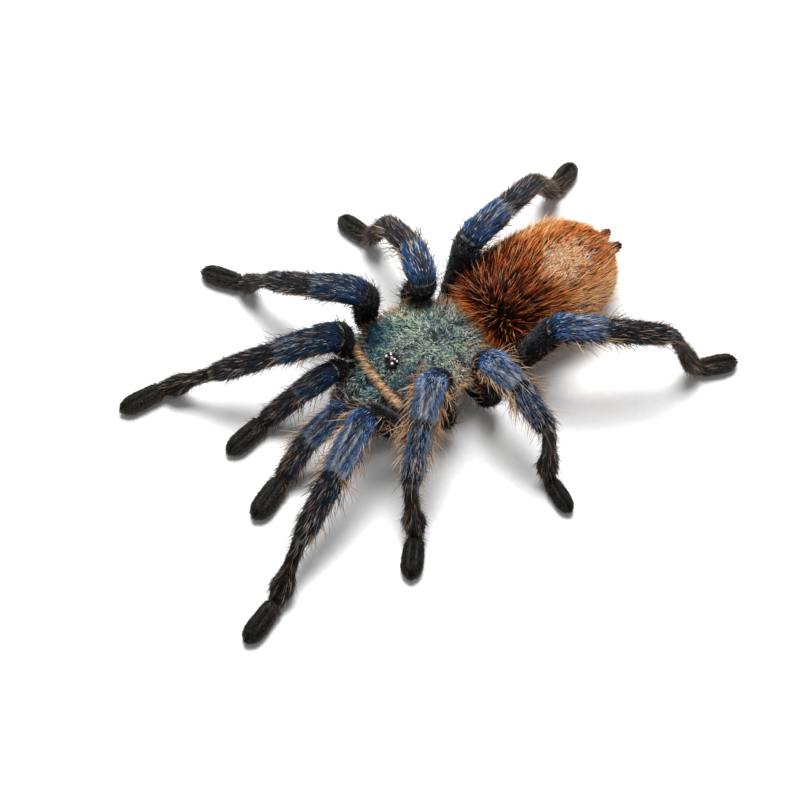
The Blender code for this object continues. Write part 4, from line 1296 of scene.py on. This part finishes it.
# %% Brush over the jaws
# Its base is slightly bowed, and its hairs are uneven in place and length, so that its edge is ragged.
BRUSH_HAIRS, BRUSH_WIDTH = 900, 0.17
BRUSH_HALF, BRUSH_Y, BRUSH_HEIGHT, BRUSH_BOW, BRUSH_RAGGEDNESS = 7.5, -10.9, 10.0, 0.008, 0.22
x = rng.uniform(-BRUSH_HALF, BRUSH_HALF, BRUSH_HAIRS) + rng.normal(0, 0.3, BRUSH_HAIRS)
y = BRUSH_Y + BRUSH_BOW * x ** 2 + rng.normal(0, BRUSH_RAGGEDNESS, BRUSH_HAIRS)
z = BRUSH_HEIGHT + rng.normal(0, BRUSH_RAGGEDNESS, BRUSH_HAIRS)
place = np.stack([x, y, z], axis=-1)
forward = unit(np.stack([0.05 * x, np.full(BRUSH_HAIRS, -1.0), np.zeros(BRUSH_HAIRS)], axis=-1))
upward = np.broadcast_to((0.0, 0.0, 1.0), forward.shape)
brown = rng.random(BRUSH_HAIRS) < 0.22
shade = np.where(brown, rng.uniform(0.86, 0.91, BRUSH_HAIRS), rng.uniform(0.94, 0.985, BRUSH_HAIRS))
shade = shade + 0.02 * np.sin(x * 9.0)
length = rng.uniform(1.5, 2.4, BRUSH_HAIRS)
lift = rng.normal(0.75, 0.18, BRUSH_HAIRS)
curl = rng.normal(-1.1, 0.25, BRUSH_HAIRS)
sway = rng.normal(0.35, 0.25, BRUSH_HAIRS)
carapace_hairs.append(hair_part(place, upward, forward, length, BRUSH_WIDTH, lift, curl, sway, shade, 2))
print("brush hairs", BRUSH_HAIRS)

# %% Dress the carapace
UNDERSIDE_HAIRS, UNDERSIDE_WIDTH = 2200, 0.2
place, normal, flow, *_ = scatter(shield[top_rings + 1:], UNDERSIDE_HAIRS, rng)
length = rng.uniform(0.9, 1.6, UNDERSIDE_HAIRS)
lift = rng.normal(0.4, 0.15, UNDERSIDE_HAIRS)
sway = rng.normal(0, 0.4, UNDERSIDE_HAIRS)
shade = rng.uniform(0.0, 0.12, UNDERSIDE_HAIRS)
carapace_hairs.append(hair_part(place, normal, flow, length, UNDERSIDE_WIDTH, lift, 0.0, sway, shade, 1))
skin = skin_part(shield, 0, SKIN_AND_BEADS_WINDOW, grain=shield)
triangles += make_piece("cephalothorax", [skin, *carapace_hairs, *eye_parts],
                        [shell, felt_hair, mound_shell, eye_lens, pearl_glint_lens])

# %% [markdown]
# ## Jaws
#
# The two chelicerae are swollen drums under the front edge. They are felted like the carapace above, but
# their hair is longer, and darker towards the fang. Each ends in a fang, folded back under, which is bare
# black chitin with a shine, so the felt stops short of it.

# %% Jaw shape
CHELICERA_PATH = ((2.5, -11.8, 6.9), (2.4, -16.6, 6.2), (2.2, -18.7, 3.0), (1.7, -16.2, 1.0))
CHELICERA_GIRTH = np.array((
    (0.0, 2.2, 3.3), (0.4, 2.2, 3.2), (1.0, 1.9, 2.4), (1.6, 1.3, 1.5), (2.0, 0.9, 0.9), (2.5, 0.6, 0.6),
    (3.0, 0.2, 0.2),
))
JAW_SIDES, JAW_RINGS, JAW_SKIN_SHARE, JAW_LOWEST = 26, 34, 0.9, 0.2
FELT_END = 1.75


def smooth_line(stops, count):
    """A curve through a few stops, with the place number of each point (Catmull-Rom)."""
    stops = np.array(stops, dtype=float)
    padded = np.vstack([2 * stops[0] - stops[1], stops, 2 * stops[-1] - stops[-2]])
    places = np.linspace(0, len(stops) - 1, count)
    low = np.minimum(places.astype(int), len(stops) - 2)
    t = (places - low)[:, None]
    p0, p1, p2, p3 = (padded[low + k] for k in range(4))
    line = 0.5 * (2 * p1 + (p2 - p0) * t + (2 * p0 - 5 * p1 + 4 * p2 - p3) * t ** 2
                  + (3 * p1 - p0 - 3 * p2 + p3) * t ** 3)
    return line, places


def jaw_grid(sign):
    """A jaw's skin from base to fang tip, and the place number of each ring."""
    line, places = smooth_line([(sign * x, y, z) for x, y, z in CHELICERA_PATH], JAW_RINGS)
    heads = unit(np.gradient(line, axis=0))
    across = unit(np.array((1.0, 0, 0)) - heads * heads[:, :1])
    up = np.cross(across, heads)
    stops, *girths = CHELICERA_GIRTH.T
    half_width, half_height = (np.interp(places, stops, girth) * JAW_SKIN_SHARE for girth in girths)
    jaw = tube(line, across, up, half_width, half_height, JAW_SIDES)
    jaw = give_way(jaw, line[:, None], 0.05)
    jaw[..., 2] = np.maximum(jaw[..., 2], JAW_LOWEST)
    return jaw, places


print("jaws reach y", jaw_grid(1)[0][..., 1].min().round(1), "mm")

# %% Dress the jaws
JAW_HAIRS, JAW_HAIR_WIDTH = 1700, 0.14
JAW_WINDOW, FANG_WINDOW = (0.01, 0.60, 0.0, 0.8), (0.01, 0.60, 0.82, 1.0)
fang_chitin = polished("Fang, bare polished chitin", "#0a0605", "#24110b", 10 / 9, 0.18)
for side, sign in (("left", 1), ("right", -1)):
    rng = np.random.default_rng(20 + sign)
    jaw, places = jaw_grid(sign)
    felted = int(np.searchsorted(places, FELT_END))
    base, fang = jaw[:felted + 1], jaw[felted:]
    root, normal, flow, ring, _ = scatter(base, JAW_HAIRS, rng)
    keep = is_free(root, 0.0)
    root, normal, flow, ring = root[keep], normal[keep], flow[keep], ring[keep]
    count = len(root)
    spot = np.interp(ring, np.arange(len(places)), places)
    shade = 0.48 + rng.normal(0, 0.12, count) - 0.2 * np.clip(spot - 0.7, 0, 1)
    shade = speckle(shade, 0.36, (0.74, 0.81), rng)
    shade = speckle(shade, 0.38, (0.0, 0.16), rng)
    length = rng.uniform(0.8, 2.2, count)
    lift = rng.normal(0.4, 0.2, count)
    curl = rng.normal(-0.1, 0.4, count)
    sway = rng.normal(0, 0.9, count)
    parts = [skin_part(base, 0, JAW_WINDOW, grain=base),
             skin_part(fang, 2, FANG_WINDOW),
             hair_part(root, normal, flow, length, JAW_HAIR_WIDTH, lift, curl, sway, shade, 2)]
    triangles += make_piece("chelicera_" + side, parts, [shell, felt_hair, fang_chitin])

# %% [markdown]
# ## Abdomen: the skin
#
# The abdomen is a soft egg on a thin stalk. In a dry specimen it keeps its form under the hair and has a
# leathery skin with shallow wrinkles. Blunt ends make it fuller than an ellipsoid.

# %% Abdomen skin
ABDOMEN_CENTRE, ABDOMEN_HALF = np.array((0.5, 26.9, 9.7)), np.array((11.0, 14.8, 8.9))
ABDOMEN_FRONT_BLUNTNESS, ABDOMEN_REAR_BLUNTNESS = 3.4, 2.3
ABDOMEN_SIDES, ABDOMEN_RINGS, ABDOMEN_LOWEST = 56, 44, 0.6
STALK_RADIUS, STALK_HEIGHT, STALK_PLACES = 1.3, 6.6, (8.9, 10.5, 11.8)
COAT_DEPTH = 0.9
turn = 2 * np.pi * np.arange(ABDOMEN_SIDES) / ABDOMEN_SIDES
cos, sin = np.cos(turn), np.sin(turn)
rings = []
for y in STALK_PLACES:
    rings.append(np.stack([STALK_RADIUS * cos, np.full(ABDOMEN_SIDES, y), STALK_HEIGHT + STALK_RADIUS * sin],
                          axis=-1))
half = ABDOMEN_HALF - COAT_DEPTH
for down in np.pi * (np.arange(ABDOMEN_RINGS) + 0.6) / (ABDOMEN_RINGS + 0.2):
    forward = math.cos(down)
    power = 2 / (ABDOMEN_FRONT_BLUNTNESS if forward > 0 else ABDOMEN_REAR_BLUNTNESS)
    size = math.sin(down) ** power
    y = ABDOMEN_CENTRE[1] - half[1] * math.copysign(abs(forward) ** power, forward)
    rings.append(np.stack([ABDOMEN_CENTRE[0] + half[0] * size * cos, np.full(ABDOMEN_SIDES, y),
                           ABDOMEN_CENTRE[2] + half[2] * size * sin], axis=-1))
egg = np.array(rings)
first_ring = len(STALK_PLACES)
middle_line = ABDOMEN_CENTRE * (1, 0, 1) + egg[first_ring:] * (0, 1, 0)
egg[first_ring:] = give_way(egg[first_ring:], middle_line, 0.25)
egg[..., 2] = np.maximum(egg[..., 2], ABDOMEN_LOWEST)
abdomen_front = float(egg[first_ring, 0, 1])
print("abdomen", egg.shape, "from y", round(abdomen_front, 1), "to", egg[-1, 0, 1].round(1))

# %% [markdown]
# ## Abdomen hair
#
# The long hairs part from one spot on the blunt front, where they stand up and lean over the waist, and lie
# down more and more towards the rear. Each is black at the root, partly by pigment and partly by painted
# shade of the coat over it, and ripens to its own colour: orange-red with peach tips on the front face, dark
# red behind it, then rusty, bright orange at the rear and golden on the flanks. The hairs that lean over the
# waist and those on the flanks are painted brighter still, as the light that falls there. A worn, pale patch
# lies on the back, a little to the left, where the animal has kicked its loose hairs off. The hairs are drawn
# 0.09 to
# 0.17 mm wide, about twice the real ones.

# %% Abdomen materials
# Pigment in clear chitin, never lattice, so there is no metal in it. The shades run from black over dark red
# and orange to cream.
ABDOMEN_SHADES = [
    (0.00, "#040202"), (0.12, "#0e0604"), (0.25, "#481c0a"), (0.38, "#aa421a"), (0.50, "#f0642a"),
    (0.62, "#fa9444"), (0.74, "#fcb86c"), (0.86, "#ffd8a8"), (1.00, "#fff2e0"),
]
abdomen_hair = hair_material("Abdomen hair, orange pigmented chitin", ABDOMEN_SHADES, root_shade_tone="#2a1710",
                             root_reach=0.5, ripen=0.26, roughness=0.42, metallic=0.0)

# Thin skin that dried over the shrunken body: it creased into cells of about 0.6 mm and stays dull, and
# painted shade darkens the creases. Where the hair is worn off it shows tan.
CREASE_SPACING, HIDE_CLOUDS_PER_MM, WORN_TAN = 0.625, 0.35, "#b9875c"
hide, tree, shader = start_material("Abdomen skin, dried leathery cuticle")
grain = add(tree, "Attribute", attribute_name="grain")
creases = add(tree, "TexVoronoi", {"Vector": grain.outputs["Vector"], "Scale": 1 / CREASE_SPACING},
              feature="DISTANCE_TO_EDGE")
clouds = add(tree, "TexNoise", {"Vector": grain.outputs["Vector"], "Scale": HIDE_CLOUDS_PER_MM,
                                "Detail": 4.0})
tone = add(tree, "ValToRGB", {"Fac": clouds.outputs["Fac"]},
           stops=[(0.3, "#060302"), (0.6, "#120805"), (0.8, "#201009")])
bare = add(tree, "Attribute", attribute_name="bare")
worn = add(tree, "Mix", {0: bare.outputs["Fac"], 6: tone.outputs["Color"], 7: linear(WORN_TAN)},
           data_type="RGBA")
# Painted shade darkens the creases.
lines = add(tree, "ValToRGB", {"Fac": creases.outputs["Distance"]},
            stops=[(0.0, "#6a6a6a"), (0.15, "#ffffff")])
colour = add(tree, "Mix", {0: 1.0, 6: worn.outputs[2], 7: lines.outputs["Color"]}, data_type="RGBA",
             blend_type="MULTIPLY")
bump = add(tree, "Bump", {"Height": creases.outputs["Distance"], "Strength": 0.4, "Distance": 0.15 * MM})
gloss = add(tree, "MapRange", {"Value": clouds.outputs["Fac"], "To Min": 0.5, "To Max": 0.75})
tree.links.new(colour.outputs[2], shader.inputs["Base Color"])
tree.links.new(bump.outputs["Normal"], shader.inputs["Normal"])
tree.links.new(gloss.outputs["Result"], shader.inputs["Roughness"])
print("made", abdomen_hair.name, "and", hide.name)

# %% Tables of the abdomen's coat
# The first five go by the distance behind the front face, in mm.
STRAND_SHARES = ((0, 0.2), (8, 0.27), (13, 0.44), (18, 0.52), (24, 0.62))
STRAND_SHADES = ((0, 0.38), (8, 0.39), (14, 0.56), (20, 0.60), (28, 0.59))
GLOOM_SHADES = ((0, 0.08), (8, 0.09), (14, 0.14), (20, 0.18))
HAIR_LENGTHS = ((0, 4.4), (1, 4.2), (3, 3.6), (8, 3.4), (14, 3.4), (26, 2.8))
HAIR_FINENESS = ((1, 1.0), (3, 0.8), (9, 0.8), (13, 1.0))
PATCH_CENTRE, PATCH_REACH = np.array((2.6, 29.8, 17.4)), np.array((4.1, 5.8, 5.6))
TAIL, TAIL_REACH = np.array((0.5, 41.0, 10.3)), 3.2
PARTING, WHORL_REACH, PARTING_REACH = np.array((2.9, 12.6, 9.6)), 3.0, 8.0
ABDOMEN_COATS = {
    "long": {"count": 16500, "width": 0.122, "segments": 2, "length": 1.0, "lift": 0.0},
    "under": {"count": 9000, "width": 0.17, "segments": 1, "length": 0.5, "lift": 0.0},
    "halo": {"count": 1200, "width": 0.11, "segments": 2, "length": 1.25, "lift": 0.5},
}
UNDERNEATH_SHARE, TIP_REACH = 0.35, 3.5


def patch_at(places):
    """How worn the coat is: a ragged oval on the back, a little to the left."""
    ragged = 1 + 0.18 * np.sin(places[..., 0] * 2.3) * np.sin(places[..., 1] * 1.9)
    return np.exp(-(np.linalg.norm((places - PATCH_CENTRE) / PATCH_REACH, axis=-1) * ragged) ** 6)


print("the worn patch is about", round(2 * PATCH_REACH[0]), "by", round(2 * PATCH_REACH[1]), "mm")

# %% Abdomen coat
def abdomen_coat(kind, rng):
    """Long hairs, the dark under-coat, or the sparse halo of pale hairs that stand out over the rest."""
    coat = ABDOMEN_COATS[kind]
    upper = np.sin(2 * np.pi * (np.arange(ABDOMEN_SIDES) + 0.5) / ABDOMEN_SIDES)
    weight = np.where(upper > -0.35, 1.0, UNDERNEATH_SHARE) * np.ones((len(egg) - first_ring - 1, 1))
    place, normal, flow, *_ = scatter(egg[first_ring:], coat["count"], rng, weight)
    keep = is_free(place + normal * 0.5, 0.1)
    place, normal, flow = place[keep], normal[keep], flow[keep]
    count = len(place)
    behind = place[:, 1] - abdomen_front
    away = place - PARTING
    away = unit(away - normal * (away * normal).sum(axis=1)[:, None])
    lead = np.exp(-behind / PARTING_REACH)[:, None]
    flow = unit(away * lead + flow * (1 - lead))
    lift = 0.42 + 0.65 * np.exp(-behind / 6.0) + 0.5 * near(place, TAIL, TAIL_REACH) + coat["lift"]
    patch = patch_at(place)
    lit_flank = ease(np.abs(place[:, 0]) - 4.0, 6)
    tip = place + TIP_REACH * (flow * np.cos(lift)[:, None] + normal * np.sin(lift)[:, None]) - PARTING
    # Hairs that lean over the waist and hairs on the flanks are painted brighter: partly their own colour,
    # partly painted light.
    over_waist = ease(-tip[:, 1] - 0.3 * tip[:, 2] - 0.7, 1.4)
    golden = lit_flank * np.clip(behind / 8 - 0.6, 0, 1)
    strand = rng.random(count) < read(STRAND_SHARES, behind) + (0.72 * over_waist + 0.3 * golden)
    bright = read(STRAND_SHADES, behind)
    bright += 0.13 * over_waist + 0.2 * golden + rng.normal(0, 0.08, count)
    gloom = read(GLOOM_SHADES, behind) + rng.uniform(-0.1, 0.1, count)
    shade = np.where(strand, bright, gloom)
    if kind == "under":
        shade = gloom - 0.04
    if kind == "halo":
        shade = rng.uniform(0.55, 0.8, count)
    shade = speckle(shade, 0.85 * patch, (0.66, 1.0), rng)
    length = read(HAIR_LENGTHS, behind) * rng.uniform(0.7, 1.2, count)
    length *= (1 - 0.55 * patch) * coat["length"]
    width = coat["width"] * read(HAIR_FINENESS, behind)
    lift = lift + rng.normal(0, 0.1, count)
    curl = rng.normal(-0.3, 0.12, count)
    clump = 0.12 * np.sin(place[:, 0] * 2.6 + 3 * np.sin(place[:, 1] * 1.3)) * np.sin(place[:, 1] * 2.1)
    mess = 1 + 2 * near(place, PARTING, WHORL_REACH)
    sway = clump + rng.normal(0, 0.16, count) * mess + patch * rng.normal(0, 1.6, count)
    return hair_part(place, normal, flow, length, width, lift, curl, sway, shade, coat["segments"])


rng = np.random.default_rng(11)
parts = [abdomen_coat(kind, rng) for kind in ABDOMEN_COATS]
skin = skin_part(egg, 0, SKIN_WINDOW, grain=egg, bare=patch_at(egg))
triangles += make_piece("abdomen", [skin, *parts], [hide, abdomen_hair])

# %% [markdown]
# ## Spinnerets
#
# The two long spinnerets are jointed fingers at the rear that lay the silk. Each has three joints, short
# orange hair, and a dark blunt tip where the spigots are.

# %% Spinnerets
SPINNERET_RADIUS, SPINNERET_RINGS, SPINNERET_SIDES = 1.05, 22, 20
SPINNERET_GIRTH = ((0, 0.75), (0.06, 0.95), (0.4, 1.0), (0.46, 0.88), (0.74, 0.92), (0.8, 0.8), (0.96, 0.62),
                   (1.0, 0.35))
SPINNERET_SHADES = ((0, 0.6), (0.4, 0.45), (0.8, 0.2), (1.0, 0.08))
SPINNERET_HAIRS, SPINNERET_HAIR_WIDTH = 700, 0.13
# From root to tip, on both sides of the abdomen's own middle line.
SPINNERET_ROOT, SPINNERET_TIP = (1.2, 40.2, 10.0), (1.9, 43.6, 11.1)
for side, sign in (("left", 1), ("right", -1)):
    rng = np.random.default_rng(40 + sign)
    start, tip = (np.array((ABDOMEN_CENTRE[0] + sign * x, y, z))
                  for x, y, z in (SPINNERET_ROOT, SPINNERET_TIP))
    shares = np.linspace(0, 1, SPINNERET_RINGS)
    line = start + (tip - start) * shares[:, None]
    head = unit(tip - start)
    across = unit(np.array((1.0, 0, 0)) - head * head[0])
    up = np.cross(across, head)
    radius = SPINNERET_RADIUS * read(SPINNERET_GIRTH, shares)
    finger = tube(line, np.broadcast_to(across, line.shape), np.broadcast_to(up, line.shape), radius, radius,
                  SPINNERET_SIDES)
    root, normal, flow, ring, _ = scatter(finger, SPINNERET_HAIRS, rng)
    shade = read(SPINNERET_SHADES, ring / (SPINNERET_RINGS - 1)) + rng.normal(0, 0.08, SPINNERET_HAIRS)
    length = rng.uniform(0.4, 0.9, SPINNERET_HAIRS)
    lift = rng.normal(0.4, 0.15, SPINNERET_HAIRS)
    sway = rng.normal(0, 0.3, SPINNERET_HAIRS)
    parts = [skin_part(finger, 0, SKIN_WINDOW, grain=finger),
             hair_part(root, normal, flow, length, SPINNERET_HAIR_WIDTH, lift, 0.0, sway, shade, 1)]
    triangles += make_piece("spinneret_" + side, parts, [hide, abdomen_hair])
print("all pieces have", triangles, "triangles")

# %% [markdown]
# ## Size and finish
#
# The tips of the coat stand a little proud of the solids. The box that the shown pieces fill is printed.

# %% Size and finish
low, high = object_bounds()
print("visual box mm", [round(c / MM, 1) for c in (*low, *high)])
